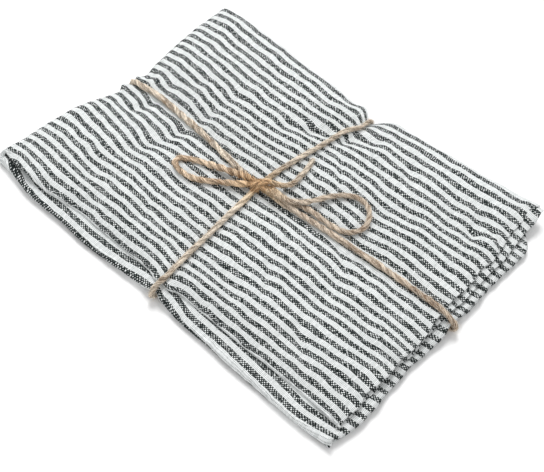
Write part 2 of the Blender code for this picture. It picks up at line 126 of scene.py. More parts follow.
# Where the lower pair of layers is drawn in: its lengthwise fold towards +Y, its hems towards -X.
FOLD_TUCKS = table(SWELLING, [
    (-158, -120, 20, 16, 4.6), (-100, -122, 22, 10, 1.2)])
HEM_TUCKS = table(SWELLING, [
    (172, 116, 12, 15, 7.5), (176, 62, 12, 9, 2.4), (178, -40, 12, 14, 2.2)])

# Long creases of the top: two ends, half width and height (a trough where negative), in mm.
CREASE = "x1 y1 x2 y2 width height"
CREASES = table(CREASE, [
    (-152, 30, -138, 14, 7, 1.6), (-138, 36, -126, -26, 6, -1.7), (-118, 30, -106, -22, 8, 1.2),
    (-98, 36, -84, -30, 7, -1.6), (-70, -48, -30, -104, 8, -1.1), (14, 92, 40, 106, 7, 1.3),
    (20, 66, 44, 36, 6, -1.2), (84, -8, 116, -46, 7, -1.4), (92, -52, 124, -96, 8, -1.2),
    (138, 84, 148, 60, 6, -1.5), (126, -14, 158, -62, 8, 1.1), (92, 70, 112, 22, 9, -0.9),
    (-160, 104, -60, 88, 10, -0.8), (150, -92, 176, -118, 7, -1.3)])

# Fine creases that only the cloth seen here has, in the same terms.
FINE_CREASES = table(CREASE, [
    (-156, 30, -153, 15, 5, -1.8), (-146, 22, -144, 6, 4, 1.3), (-152, -17, -134, -15, 5.5, -1.7),
    (-135, -16, -128, 6, 5.5, -2.2), (-128, 6, -134, 28, 6.5, -1.6), (-106, 44, -104, 6, 6, 0.9),
    (-83, 54, -84, 24, 6.5, -1.6), (-84, 24, -89, -6, 6, -2), (-88, -6, -98, -38, 6.5, -1.8),
    (-104, -45, -116, -80, 10, -1.4), (-110, -84, -84, -104, 9, -1.1), (-74, 74, -66, 50, 7, 0.9),
    (-32, 54, -12, 67, 7, -2), (-14, 66, 16, 80, 7, -2.7), (14, 79, 36, 92, 7, -1.8),
    (-30, 18, -32, 52, 13, -1), (-20, 103, 16, 105, 8, 1.5), (22, 62, 33, 48, 2.2, -1),
    (33, 48, 43, 36, 2.2, -0.9), (28, 50, 42, 34, 8, 0.7), (84, 44, 91, 18, 7, -1),
    (82, -9, 99, -21, 2.4, -1.3), (92, -22, 108, -54, 9, -1.1), (130, -32, 153, -60, 8, -1.6),
    (117, 86, 126, 64, 8, -1.1), (133, 94, 150, 73, 6, -1.1), (136, 69, 158, 66, 2.5, -1.1),
    (140, 74, 148, 70, 2.6, -2), (151, 85, 158, 80, 2.6, -1.4), (162, 80, 169, 75, 3, -1.9),
    (168, 43, 174, 38, 2.8, -1.8), (172, 19, 178, 13, 2.6, -1.6), (160, 96, 168, 92, 3, -1.3),
    (4, -92, 12, -112, 11, 1.6), (-36, -79, -12, -82, 8, -1.2), (26, -86, 56, -92, 9, -1.3),
    (52, -52, 70, -80, 3, -0.9), (-60, -60, -46, -92, 3.2, -0.9), (104, -78, 126, -100, 3.4, -1),
    (60, 96, 84, 74, 3.6, -0.8), (156, 122, 174, 122, 8, 1.8), (16, -11, 48, -10.5, 2, -1.1),
    (58, -10, 96, -8, 2, -1.2), (112, -6, 142, -4.5, 2, -1), (-64, 8.5, -28, 0.5, 2.2, -1.1),
    (-126, 13, -104, 11, 2.4, -1.2)])

# How far the pattern is pulled aside in the sheet: the same terms, with a shift for the height.
PULLS = table(SWELLING, [
    (-166, -120, 24, 12, 3.4), (-165, -108, 48, 34, 6.6), (-175, 60, 45, 90, 7),
    (-170, -35, 40, 45, 8), (-60, 48, 40, 34, -3.8), (85, 48, 26, 34, -3), (0, 125, 200, 22, 4.8),
    (115, 88, 25, 18, -2), (165, 60, 18, 30, 4), (162, 100, 16, 20, 2), (-35, -50, 26, 34, -3.3),
    (-100, -32, 13, 18, -2.6), (20, -80, 30, 14, -2), (168, -68, 32, 32, 6), (80, -68, 30, 20, 1.6),
    (35, -18, 30, 20, 1.6), (10, 42, 22, 20, 1.8), (80, 12, 14, 16, -1.6), (118, 22, 16, 25, 1.8)])

# Routes of the loose ends of the bow: x, y and how far the strand is above the cloth, in mm.
WAY = "x y lift"
LEFT_LOOP = table(WAY, [
    (-8.2, -6.8, 4.5), (-17, -8.8, 3.9), (-25, -11.3, 3.3), (-34, -14.2, 2.4), (-43, -17.4, 1.4),
    (-53, -21, 0.6), (-61, -25.2, 0.2), (-66.5, -29.6, 0.1), (-66, -33.6, 0), (-60.5, -36.6, 0),
    (-52, -37.6, 0), (-43, -35.8, 0), (-35, -31.6, 0.2), (-27.5, -26.4, 0.6), (-20, -20.4, 1.4),
    (-13.2, -15.4, 2.4), (-8.1, -11.9, 3.3)])
RIGHT_LOOP = table(WAY, [
    (6.4, -6.9, 4.6), (14, -6.2, 4.8), (21, -5, 4.6), (28, -2.6, 4.2), (33.5, 2, 3.4),
    (38.5, 8.5, 2.2), (43.5, 17, 1.2), (48.6, 25, 0.6), (55, 31.5, 0.2), (62.5, 35.4, 0.1),
    (70, 35.2, 0), (76.6, 31.8, 0), (81.4, 26, 0), (83.8, 19.4, 0), (82.4, 12.8, 0), (78, 7.6, 0.2),
    (72.6, 4.6, 0.4), (66.8, 3.4, 0.5), (56, 3, 0.6), (46, 3.2, 0.4), (37, 2.2, 0.2), (29, -0.4, 0),
    (21, -1.1, 0.3), (14, -1.5, 0.9), (7.4, -1.8, 2.2)])
FREE_END = table(WAY, [
    (3.2, -0.6, 5.4), (8.6, 2.4, 4), (13.2, 6, 2.8), (15.6, 10.4, 1.4), (16, 16, 0.5),
    (15, 25, 0.1), (13.2, 33.4, 0), (9.8, 44, 0)])

# How the twine turns over each edge of the bundle: its place across the edge and its height, in mm.
TURN = "place height"
OVER_HEMS = table(TURN, [
    (163.4, 15.6), (170.4, 15.3), (175.6, 13.8), (179.9, 11.3), (183.1, 8.7), (183.9, 6.2),
    (183.2, 3.9), (180.6, 2.4), (174, 2.25)])
OVER_FAR = table(TURN, [
    (98, 14.1), (102.6, 13.9), (106.9, 12.7), (109.2, 9.9), (109.6, 6.8), (108.1, 4), (104.4, 2.35),
    (96, 2.25)])
OVER_NEAR = table(TURN, [
    (-112, 13.6), (-117.6, 13.4), (-123, 12.3), (-126.5, 9.8), (-127.8, 6.8), (-127.1, 4.3),
    (-123.8, 2.45), (-116, 2.25)])
OVER_FOLD = table(TURN, [
    (-150, 13.9), (-155.2, 13.4), (-159.8, 11.6), (-161.6, 8.1), (-160.5, 4.5), (-156.2, 2.45),
    (-149, 2.25)])

# Stations of the twine between its turns, as shares along or across the bundle.
FOLD_STATIONS = [-0.034, -0.09, -0.15, -0.23, -0.34, -0.46, -0.58, -0.70, -0.80, -0.88]
HEM_STATIONS = [0.80, 0.68, 0.56, 0.44, 0.33, 0.23, 0.14, 0.09, 0.047]
FAR_STATIONS = [0.044, 0.09, 0.16, 0.28, 0.42, 0.56, 0.70, 0.82]
NEAR_STATIONS = [-0.86, -0.74, -0.60, -0.46, -0.32, -0.19, -0.11, -0.058]
BELOW_LENGTHWISE = [-0.74, -0.60, -0.46, -0.33, -0.19, -0.05, 0.08, 0.22, 0.35, 0.49, 0.62, 0.76]
BELOW_CROSSWISE = [0.75, 0.60, 0.45, 0.32, 0.22, 0.15, 0.10, 0.06, 0.02,
                   -0.02, -0.06, -0.10, -0.15, -0.22, -0.34, -0.48, -0.62, -0.78]
EXIT_ACROSS = 0.97       # where across the bundle the crosswise twine goes round its edges

# ---- the finer cloth
LIFT = 0.0004            # how much nearer to the twine the cloth's top is than the solid's
TOP_ROWS, LOW_ROWS = 182, 56            # rows of the grid along the upper and the lower layers
OUTER_COLUMNS, INNER_COLUMNS = 134, 40  # columns across the outer and the inner layers
FOLD_STEPS = 12
VALLEY_DENSITY = 1.6     # how much closer the rows are beside a strand
EDGE_DENSITY = 1.5       # how much closer they are at an edge
DENSITY_REACH = 0.07
HEM_WIDTH = 0.013        # depth of the turned hem, and of the step beside it
HEM_STEP = 0.0018
HEM_POWER = 12           # how close to the hems their own waves begin
LAYER_GAP = 0.0001       # least gap between two layers
LEAST_STACK = 0.0046     # least height of the four layers together
GATHER_LENGTHS = (0.0071, 0.0113, 0.0187)
GATHER_REACH = 0.013     # how far the small gathers beside a strand go
BOW_REACH = 0.0035       # how far from the loops of the bow the cloth is held down
STRAND_FLOOR = 0.0022    # the fine creases fade over this half width under a strand
STRAND_SIDE = 0.0035
DRAWN_IN = 0.8           # how far a fine crease draws the stripes aside, as a share of its depth
NEAR_GAP = 0.00115       # from the middle of one layer to the next where the two folds meet
CRACK_RISE = 0.36        # how much thicker the lower pair is than the upper one where they meet

# The upper lengthwise fold is drawn in so that the lower one shows: how far, how close to the fold
# that begins, where along X it begins, and the share and the reach of the twine's hold on it.
DRAW_IN = 0.0062
DRAW_IN_POWER = 3.5
DRAW_IN_START = (-0.132, -0.084)
DRAW_IN_HELD = 0.7
DRAW_IN_REACH = 0.012

# How far the cloth puffs out and up beside a strand that turns over an edge, how close to the edge
# that begins, and its share, its place beside the strand and its width at each edge.
PUFF = 0.0058
PUFF_RISE = 0.0013
PUFF_POWER = 9
Puff = namedtuple("Puff", "share place width")
FOLD_PUFF = Puff(1.0, 0.0070, 0.0044)
FAR_PUFF = Puff(1.0, 0.0125, 0.0105)
NEAR_PUFF = Puff(0.3, 0.0070, 0.0044)

# The uneven waves of the cloth: seed, longest wave and shortest wave.
CRUMPLE_WAVES = 26
TOP_WAVES = (11, 0.060, 0.013)
SLACK_WAVES = (23, 0.050, 0.010)
FOLD_WAVES = (31, 0.090, 0.016)
HEM_WAVES = (33, 0.050, 0.014)
FLUTTER_ALONE = (35, 0.030, 0.009)
FLUTTER_TOGETHER = (36, 0.040, 0.014)
EDGE_WAVES = (37, 0.090, 0.016)

# How the stripes lie in the sheet.
FLAT_STRAIGHT = 0.1238   # distance of the line y = 0 from the far long edge, in the flat cloth
FOLD_GAP_U = 0.004       # half of what the crosswise fold takes up, and the lengthwise ones
FOLD_GAP_V = 0.0027
EDGE_REACH = 0.045       # over what distance the stripes are eased to meet an edge
PINCH_REACH = 0.006      # the same where the crosswise twine holds the bundle
PINCH_WIDTH = 0.030
FADE_REACH = 0.030       # over what distance the pulls fade on the layer under the top one
LAYER_DRIFT = -0.0040    # how far the second layer's stripes drift from the first one's
LOWER_SHIFT = -0.0014    # how far round the sheet the lower lengthwise fold is from the upper one

# ---- the twine's own shape
FLATTENED = (1.12, 1.12, 0.88)  # how much wider and lower its round section is when it is tied
PLY_RADIUS = 0.73        # radius of one ply, and its distance from the middle, as shares
PLY_OFFSET = 0.27        # of the twine's radius
ROUND_POINTS = 20
TURN_DENSITY = 0.004     # extra length that a turn of one radian counts for in spacing points
STATION = 0.0008         # distance between the rings of the twine's mesh
FIBRE_STEPS = 5
FIBRE_RADIUS = 0.00011
STRAY_RARITY = 5.0       # the higher this is, the fewer fibres stray out of the twine
LOWEST = 0.0001          # the twine and its fibres are pressed flat on the table here
TURN_WAVES = (0.080, 0.018)    # longest and shortest wave of how the plies' turn is uneven,
GIRTH_WAVES = (0.030, 0.004)   # the twine's thickness, and the outline of its section
ROUGH_WAVES = (0.009, 0.002)

# ---- finishes and studio
UV_NAME = "flat"
FINISH = ("Base Color", "Roughness", "Specular IOR Level", "Sheen Weight", "Sheen Tint")
# painted shade that darkens the borders between neighbouring cotton threads
SHADE_BETWEEN_YARNS = (0.05, 0.06, 0.06, 1)
COTTON_SHEEN = (0.9, 0.95, 0.95, 1)
JUTE_SHEEN = (1.0, 0.92, 0.80, 1)
DULL_JUTE = (0.26, 0.10, 0.02, 1)   # mixed in between these two places along X
DULL_FROM_TO = (0.005, 0.045)
KNOT_TINT = (1.0, 0.86, 0.66, 1)    # fades out between these two distances from the knot
KNOT_FROM_TO = (0.008, 0.030)
FLOOR_REACH, FLOOR_HEIGHT = 4, -0.0004
KEY_SIZE = 1.6
KEY_PLACE = (-1.35, 1.53, 2.79)
KEY_TURN = (-36, -26, 0)            # degrees about X, Y and Z


# ---- curves through named tables
def column(rows, name):
    """One column of a table of named rows, as an array."""
    return np.array([getattr(row, name) for row in rows], dtype=float)


def smooth(places, values, at):
    """A cubic curve through the table's points, whose slopes come from each point's neighbours."""
    order = np.argsort(places)
    places, values = places[order], values[order]
    slopes = np.gradient(values, places)
    at = np.clip(at, places[0], places[-1])
    index = np.clip(np.searchsorted(places, at) - 1, 0, len(places) - 2)
    step = places[index + 1] - places[index]
    share = (at - places[index]) / step
    rise = values[index + 1] - values[index]
    start, finish = slopes[index] * step, slopes[index + 1] * step
    bend = (start + finish - 2 * rise) * share + (3 * rise - 2 * start - finish)
    return values[index] + share * (start + share * bend)


def side(name, along):
    """A line of the plan that runs along the bundle, in metres, at a share along it."""
    return MM * smooth(column(SIDES, "along"), column(SIDES, name), along)


def end(name, across):
    """A line of the plan that runs across the bundle, in metres, at a share across it."""
    return MM * smooth(column(ENDS, "across"), column(ENDS, name), across)


def mix(first, second, share):
    """The value at a share of the way from the first to the second."""
    return first + (second - first) * share


def hump(distance, reach):
    """A soft hump, 1 at no distance: e to the power of minus the square of distance over reach."""
    return np.exp(-(distance / reach) ** 2)


def step_up(value, low, high):
    """0 below low, 1 above high, with a soft S between."""
    share = np.clip((value - low) / (high - low), 0, 1)
    return share * share * (3 - 2 * share)


def spread(share, low, middle, high):
    """The place at a share from -1 to 1, between a low and a high edge that meet at the middle."""
    return middle + np.where(share < 0, middle - low, high - middle) * share


# ---- the bundle's plan and height
def plan(along, across, upper, outer):
    """X and Y of the cloth.  upper is 1 in the upper pair of layers and 0 in the lower pair,
    outer is 1 in the top and bottom layers and 0 in the two between them."""
    hem_upper = mix(end("hem_2", across), end("hem_1", across), outer)
    hem_lower = mix(end("hem_3", across), end("hem_4", across), outer)
    hem = mix(hem_lower, hem_upper, upper)
    near = mix(side("near_low", along), side("near", along), upper)
    far = mix(side("far_low", along), side("far", along), upper)
    x = spread(along, end("fold", across), end("line", across), hem)
    y = spread(across, near, side("line", along), far)
    return x, y


def bell(distance, floor, reach):
    """1 within the floor, then a soft fall to 0 over about two reaches."""
    beyond = np.maximum(distance - floor, 0) / reach
    return np.maximum(np.exp(-beyond ** 2) - 0.01, 0) / 0.99


def offsets(along, across, x, y):
    """Distances of a place from the crosswise and from the lengthwise twine."""
    return np.abs(x - end("line", across)), np.abs(y - side("line", along))


def free(distances, floor, reach):
    """0 under the strands and 1 away from both of them."""
    return (1 - bell(distances[0], floor, reach)) * (1 - bell(distances[1], floor, reach))


def underside(along, across, x, y):
    """Height of the bundle's underside: flat on the table but for the grooves over the twine."""
    from_cross, from_long = offsets(along, across, x, y)
    cross_groove = bell(from_cross, VALLEY_FLOOR, GROOVE_SIDE)
    groove = np.maximum(cross_groove, bell(from_long, VALLEY_FLOOR, GROOVE_SIDE))
    crossing = bell(np.hypot(from_cross, from_long), 2 * VALLEY_FLOOR, CROSS_SIDE)
    return GROOVE_HEIGHT * groove + CROSS_HEIGHT * crossing


def swells(x, y, rows):
    """Round swellings, each a bell of its own reach along X and along Y, added up."""
    total = np.zeros(np.broadcast(x, y).shape)
    for row in rows:
        away = ((x / MM - row.x) / row.reach_x) ** 2 + ((y / MM - row.y) / row.reach_y) ** 2
        total = total + row[-1] * np.exp(-away)
    return MM * total


def creases(x, y, rows):
    """Straight creases: a bell across each line, that fades near the line's two ends."""
    total = np.zeros(np.broadcast(x, y).shape)
    for row in rows:
        run = np.array([row.x2 - row.x1, row.y2 - row.y1])
        length = np.hypot(*run)
        px = x / MM - row.x1
        py = y / MM - row.y1
        share = (px * run[0] + py * run[1]) / length ** 2
        beside = (px * run[1] - py * run[0]) / length
        past = np.maximum(np.abs(share - 0.5) - 0.35, 0) / 0.25
        total = total + row.height * np.exp(-(beside / row.width) ** 2 - past ** 2)
    return MM * total


def top(along, across, x, y, extra=0.0):
    """Height of the bundle's top: four pillows, valleys under the twine and lower edges.
    extra is a relief that is added where the cloth isn't held down by a strand."""
    reach = np.maximum(np.abs(along), np.abs(across))
    exit_height = np.where(along > np.abs(across), TOP_EXIT_HEM, TOP_EXIT)
    valley = mix(TOP_CENTRE, exit_height, np.clip(reach, 0, 1) ** 3)
    pillow = 0
    for corner in PILLOWS:
        weight = (1 + corner.along * along) * (1 + corner.across * across) / 4
        pillow = pillow + corner.height * MM * weight
    fall_along = np.abs(along) ** EDGE_SHARPNESS
    fall_across = np.abs(across) ** EDGE_SHARPNESS
    fall = fall_along + fall_across - fall_along * fall_across
    crest = mix(pillow, TOP_EDGE, fall) + swells(x, y, SWELLINGS) + creases(x, y, CREASES) + extra
    return mix(valley, crest, free(offsets(along, across, x, y), VALLEY_FLOOR, VALLEY_SIDE))


def locate(x, y):
    """The shares along and across of a place on the top layer, found by a few corrections."""
    along = np.zeros_like(x)
    across = np.zeros_like(x)
    for _ in range(12):
        line = side("line", along)
        away = y - line
        reach = np.where(away < 0, line - side("near", along), side("far", along) - line)
        across = np.clip(away / reach, -1, 1)
        middle = end("line", across)
        away = x - middle
        reach = np.where(away < 0, middle - end("fold", across), end("hem_1", across) - middle)
        along = np.clip(away / reach, -1, 1)
    return along, across


def top_at(x, y):
    """Height of the solid's top at a place in plan."""
    along, across = locate(x, y)
    return top(along, across, x, y)


# ---- the towel
def stations(count):
    """Shares from 1 down to -1, closer together near 0 and near both ends: equal steps of the
    running total of a density that is 1 plus a bell at each of those places."""
    fine = np.linspace(1, -1, 4001)
    near_strand = VALLEY_DENSITY * hump(fine, DENSITY_REACH)
    near_edge = EDGE_DENSITY * hump(1 - np.abs(fine), DENSITY_REACH)
    total = np.cumsum(1 + near_strand + near_edge)
    total = (total - total[0]) / (total[-1] - total[0])
    return np.interp(np.linspace(0, 1, count), total, fine)


def there_and_back(first, second):
    """Stations of a sheet that runs from 1 to -1, turns round a fold and runs back to 1.
    Returns the share of the run and the angle round the fold, 0 before it and pi after it."""
    out = stations(first)
    back = stations(second)[::-1]
    turn = np.pi * np.arange(1, FOLD_STEPS) / FOLD_STEPS
    share = np.concatenate([out, -np.ones(FOLD_STEPS - 1), back])
    angle = np.concatenate([np.zeros(len(out)), turn, np.full(len(back), np.pi)])
    return share, angle


def crumple(x, y, seed, longest, shortest):
    """A soft uneven relief from -1 to 1 or so: plane waves in all directions, whose height falls
    with their length, at places and headings drawn from a seeded generator."""
    draw = np.random.default_rng(seed)
    total = np.zeros(np.broadcast(x, y).shape)
    for _ in range(CRUMPLE_WAVES):
        heading = draw.uniform(0, math.pi)
        length = longest * (shortest / longest) ** draw.uniform()
        phase = draw.uniform(0, 2 * math.pi)
        run = x * math.cos(heading) + y * math.sin(heading)
        total = total + (length / longest) ** 0.6 * np.sin(2 * math.pi * run / length + phase)
    return total / math.sqrt(CRUMPLE_WAVES / 2)


def gathers(place, seed):
    """Uneven ridges along a strand: three sines of unlike lengths, squeezed by each other."""
    draw = np.random.default_rng(seed)
    total = np.zeros_like(place)
    for length in GATHER_LENGTHS:
        phase = draw.uniform(0, 2 * math.pi)
        total = total + np.sin(2 * math.pi * place / length + phase + 1.5 * np.sin(place / 0.013))
    return total / 3


def under_bow(x, y):
    """1 under the loops and the free end of the bow and 0 away from them: a bell of the distance
    to the nearest point of their tables' curves."""
    places = np.stack([x, y], axis=-1).reshape(-1, 2)
    nearest = np.full(len(places), 1.0)
    for rows in (LEFT_LOOP, RIGHT_LOOP, FREE_END):
        even = np.linspace(0, 1, 12 * len(rows))
        marks = np.linspace(0, 1, len(rows))
        curve = MM * np.stack([np.interp(even, marks, column(rows, name)) for name in "xy"], axis=1)
        apart = np.linalg.norm(places[:, None, :] - curve[None, :, :], axis=2)
        nearest = np.minimum(nearest, apart.min(axis=1))
    return hump(nearest, BOW_REACH).reshape(x.shape)


def fine_relief(along, across, x, y, height):
    """What the seen cloth adds to the solid's pillows: crumples and small gathers."""
    from_cross, from_long = offsets(along, across, x, y)
    beside_cross = hump(from_cross, GATHER_REACH) * gathers(y, 3)
    beside_long = hump(from_long, GATHER_REACH) * gathers(x, 5)
    return height * (crumple(x, y, *TOP_WAVES) + 0.9 * beside_cross + 0.9 * beside_long)


def drawn(along, across, x, y):
    """The fine creases, which fade only where a strand lies on the cloth."""
    held = free(offsets(along, across, x, y), STRAND_FLOOR, STRAND_SIDE)
    return creases(x, y, FINE_CREASES) * held


def puffs(along, across, x, y):
    """How far the cloth puffs out beside a strand that turns over the crosswise fold, and over a
    long edge, as shares with the sign of the way out: a bell on either side of the strand."""
    def beside(distance, puff):
        return puff.share * hump(distance - puff.place, puff.width)

    from_cross, from_long = offsets(along, across, x, y)
    at_edge = np.where(across < 0, beside(from_cross, NEAR_PUFF), beside(from_cross, FAR_PUFF))
    at_fold = beside(from_long, FOLD_PUFF) * np.minimum(along, 0) ** PUFF_POWER
    return at_fold, at_edge * across ** PUFF_POWER


def round_fold(turn, out, back, start, gap):
    """A flat coordinate that runs out, grows evenly with the angle round a fold and runs back."""
    turning = (turn > 0) & (turn < math.pi)
    return np.where(turning, start + 2 * gap * turn / math.pi, np.where(turn < math.pi, out, back))


def flat_place(along, across, turn_along, turn_across, x, y, slack):
    """Where each point is in the flat cloth, in metres from the corner of the first hem and the
    far long edge.  The stripes are straight in plan.  They are eased to meet the far long edge,
    within a few millimetres where the twine pinches the bundle, and pulled aside by the tables of
    pulls and fine creases, less so on the layer under the top one."""
    upper = (1 + np.cos(turn_along)) / 2
    run = FLAT_LENGTH / 2 - FOLD_GAP_U
    out = run * (1 - along) / 2
    u = round_fold(turn_along, out, FLAT_LENGTH - out, run, FOLD_GAP_U)
    near = mix(side("near_low", along), side("near", along), upper)
    far = mix(side("far_low", along), side("far", along), upper)
    reach = mix(EDGE_REACH, PINCH_REACH, hump(x - end("line", across), PINCH_WIDTH))
    out = FLAT_STRAIGHT - y + (far - FLAT_STRAIGHT) * np.exp(-(far - y) / reach)
    fold = FLAT_STRAIGHT - near
    back = 2 * (fold + FOLD_GAP_V) - out + LAYER_DRIFT * step_up(across, 0.2, 0.7)
    v = round_fold(turn_across, out, back, fold, FOLD_GAP_V)
    aside = swells(x, y, PULLS) + slack * crumple(x, y, *SLACK_WAVES)
    aside = aside + DRAWN_IN * drawn(along, across, x, y)
    seen = np.where(turn_across < math.pi, 1, np.exp(-(y - near) / FADE_REACH))
    return u, v + aside * upper * seen + LOWER_SHIFT * (1 - upper)


def cloth_surface(settings):
    """The middle of the cloth: a pair of layers joined by the lengthwise fold, carried along a
    path that turns round the crosswise fold.  Returns points, thicknesses and flat places."""
    along, turn_along = there_and_back(TOP_ROWS, LOW_ROWS)
    across, turn_across = there_and_back(OUTER_COLUMNS, INNER_COLUMNS)
    along, turn_along, across, turn_across = np.broadcast_arrays(
        along[:, None], turn_along[:, None], across[None, :], turn_across[None, :])
    upper = (1 + np.cos(turn_along)) / 2
    outer = (1 + np.cos(turn_across)) / 2
    x, y = plan(along, across, upper, outer)
    u, v = flat_place(along, across, turn_along, turn_across, x, y, settings.slack)
    hemmed = 1 - step_up(np.minimum(u, FLAT_LENGTH - u), HEM_WIDTH, HEM_WIDTH + HEM_STEP)
    thick = mix(settings.thickness, settings.hem_thickness, hemmed)

    # The stack's underside and top, then the height of each layer in it.
    low = underside(along, across, x, y)
    relief = fine_relief(along, across, x, y, settings.crumple)
    high = top(along, across, x, y, relief) + drawn(along, across, x, y)
    solid = top(along, across, x, y)
    high = LIFT + high - np.maximum(high - solid, 0) * under_bow(x, y)
    puff_along, puff_across = puffs(along, across, x, y)
    high = high + PUFF_RISE * (np.abs(puff_along) + np.abs(puff_across))
    high = np.maximum(high, low + LEAST_STACK)
    stack = high - low - thick
    closing = np.maximum(-across, 0) ** 3
    apart = mix(stack / 3, NEAR_GAP, closing) + stack * swells(x, y, MOUTHS) / MM
    spacing = (stack - apart) / 2 * (1 + CRACK_RISE * closing * (1 - 2 * upper))
    spacing = np.maximum(spacing, thick + LAYER_GAP)
    pair = (stack - spacing) / 2 + spacing / 2 * np.cos(turn_across)
    z = (high + low) / 2 + np.cos(turn_along) * pair
    x = x - np.sin(turn_along) * pair
    y = y - np.sin(turn_across) * spacing / 2

    # Tucks of the lower pair, puffs, the drawn-in upper fold, and the waves of edges and hems.
    tuck_x, tuck_y = swells(x, y, HEM_TUCKS), swells(x, y, FOLD_TUCKS)
    from_cross, _ = offsets(along, across, x, y)
    draw_in = DRAW_IN * np.maximum(-across, 0) ** DRAW_IN_POWER * step_up(x, *DRAW_IN_START)
    draw_in = draw_in * (1 - DRAW_IN_HELD * hump(from_cross, DRAW_IN_REACH))
    x = x + PUFF * puff_along - (1 - upper) * tuck_x
    y = y + PUFF * puff_across + (1 - upper) * tuck_y + upper * draw_in
    layer = 0.05 * turn_along + 0.03 * turn_across
    at_hem = np.maximum(along, 0) ** HEM_POWER
    wobble = settings.edge_wobble
    x = x + wobble * crumple(y + layer, layer, *FOLD_WAVES) * np.abs(along) ** 3
    x = x + settings.hem_wobble * crumple(y - layer, layer, *HEM_WAVES) * at_hem
    flutter = crumple(y + 2 * layer, layer, *FLUTTER_ALONE)
    flutter = flutter + 0.8 * crumple(y, 0 * y, *FLUTTER_TOGETHER)
    z = np.maximum(z + settings.hem_flutter * flutter * at_hem, thick / 2)
    y = y + wobble * crumple(x + layer, layer, *EDGE_WAVES) * np.abs(across) ** 3
    return np.stack([x, y, z], axis=-1), thick, np.stack([u, v], axis=-1)


def unit(vectors):
    """Vectors brought to a length of one."""
    return vectors / np.linalg.norm(vectors, axis=-1, keepdims=True)


def quads(index):
    """The faces of a grid of vertices."""
    corners = [index[:-1, :-1], index[1:, :-1], index[1:, 1:], index[:-1, 1:]]
    return np.stack(corners, axis=-1).reshape(-1, 4)


def thicken(points, thick, flat):
    """A closed solid: the sheet moved half its thickness to either side, with a rim between.
    Returns vertices, faces and each vertex's place in the flat cloth."""
    normal = unit(np.cross(np.gradient(points, axis=0), np.gradient(points, axis=1)))
    shift = normal * thick[..., None] / 2
    vertices = np.concatenate([(points + shift).reshape(-1, 3), (points - shift).reshape(-1, 3)])
    index = np.arange(thick.size).reshape(thick.shape)
    back = index + thick.size
    faces = [quads(index), quads(back)[:, ::-1]]
    rims = ((index[0], back[0]), (index[:, -1], back[:, -1]),
            (index[-1, ::-1], back[-1, ::-1]), (index[::-1, 0], back[::-1, 0]))
    for edge, other in rims:
        faces.append(np.stack([edge[:-1], edge[1:], other[1:], other[:-1]], axis=-1))
    return vertices, np.concatenate(faces), np.concatenate([flat.reshape(-1, 2)] * 2)


# ---- the twine
def along_table(points, spacing):
    """Points of a smooth curve through the table's points, closer together where it turns."""
    chord = run_of(points)
    fine = np.linspace(0, chord[-1], 80 * len(points))
    curve = np.stack([smooth(chord, points[:, axis], fine) for axis in range(3)], axis=1)
    runs = np.diff(curve, axis=0)
    lengths = np.linalg.norm(runs, axis=1)
    heading = runs / lengths[:, None]
    turns = np.concatenate([np.linalg.norm(np.diff(heading, axis=0), axis=1), [0]])
    progress = np.concatenate([[0], np.cumsum(lengths + TURN_DENSITY * turns)])
    count = max(int(round(progress[-1] / spacing)), 4) + 1
    return between(np.linspace(0, progress[-1], count), progress, curve)


def run_of(path):
    """The distance along a path at each of its points."""
    return np.concatenate([[0], np.cumsum(np.linalg.norm(np.diff(path, axis=0), axis=1))])


def between(at, run, points):
    """Points of a line at distances along it, each coordinate straight between its neighbours."""
    return np.stack([np.interp(at, run, points[:, axis]) for axis in range(3)], axis=-1)


def lying(ways):
    """Points of a strand that lies on the cloth, lifted as its table says."""
    x, y = MM * column(ways, "x"), MM * column(ways, "y")
    z = top_at(x, y) + TWINE / 2 + CLEAR + MM * column(ways, "lift")
    return np.stack([x, y, z], axis=1)


def route(lengthwise, first, over_first, below, over_last, last):
    """Once round the bundle, from the knot and back to it: stations on top, the turn over one
    edge, stations under the bundle, the turn over the other edge and stations on top.  Where the
    crosswise strand crosses the other one under the bundle, it rises over it in a bell."""
    def plan_of(share, lower):
        if lengthwise:
            hem = end("hem_4" if lower else "hem_1", 0)
            return spread(share, end("fold", 0), end("line", 0), hem), side("line", share)
        near, far = ("near_low", "far_low") if lower else ("near", "far")
        return end("line", share), spread(share, side(near, 0), side("line", 0), side(far, 0))

    def on_top(share):
        share = np.array(share)
        x, y = plan_of(share, False)
        along, across = (share, 0 * share) if lengthwise else (0 * share, share)
        return np.stack([x, y, top(along, across, x, y) + TWINE / 2 + CLEAR], axis=1)

    def over(rows, share):
        place = MM * column(rows, "place")
        held = 0 * place + (side if lengthwise else end)("line", np.array(share))
        x, y = (place, held) if lengthwise else (held, place)
        return np.stack([x, y, MM * column(rows, "height")], axis=1)

    below = np.array(below)
    leaves = np.sign(below[0]) * (1 if lengthwise else EXIT_ACROSS)
    x, y = plan_of(below, True)
    rise = 0 if lengthwise else bell(np.abs(y - side("line", 0)), 2 * VALLEY_FLOOR, BRIDGE_SIDE)
    under = np.stack([x, y, BOTTOM + BRIDGE * rise + 0 * x], axis=1)
    return np.concatenate([on_top(first), over(over_first, leaves), under,
                           over(over_last[::-1], -leaves), on_top(last)])


def frames_of(path, across):
    """Two unit vectors square to a path: one as near as it can be to a fixed direction, and the
    one square to both."""
    heading = unit(np.gradient(path, axis=0))
    first = unit(across - heading * (heading @ across)[:, None])
    return first, np.cross(heading, first)


def outwards(angle, first, second):
    """The way out at an angle between two directions: its cosine of one, its sine of the other."""
    return np.cos(angle)[..., None] * first + np.sin(angle)[..., None] * second


def ply_outline(angle):
    """Distance from the middle of the twine to its surface: the outer one of two circles that lie
    side by side, as a share of the twine's radius."""
    return PLY_OFFSET * np.abs(np.cos(angle)) + np.sqrt(
        PLY_RADIUS ** 2 - (PLY_OFFSET * np.sin(angle)) ** 2)


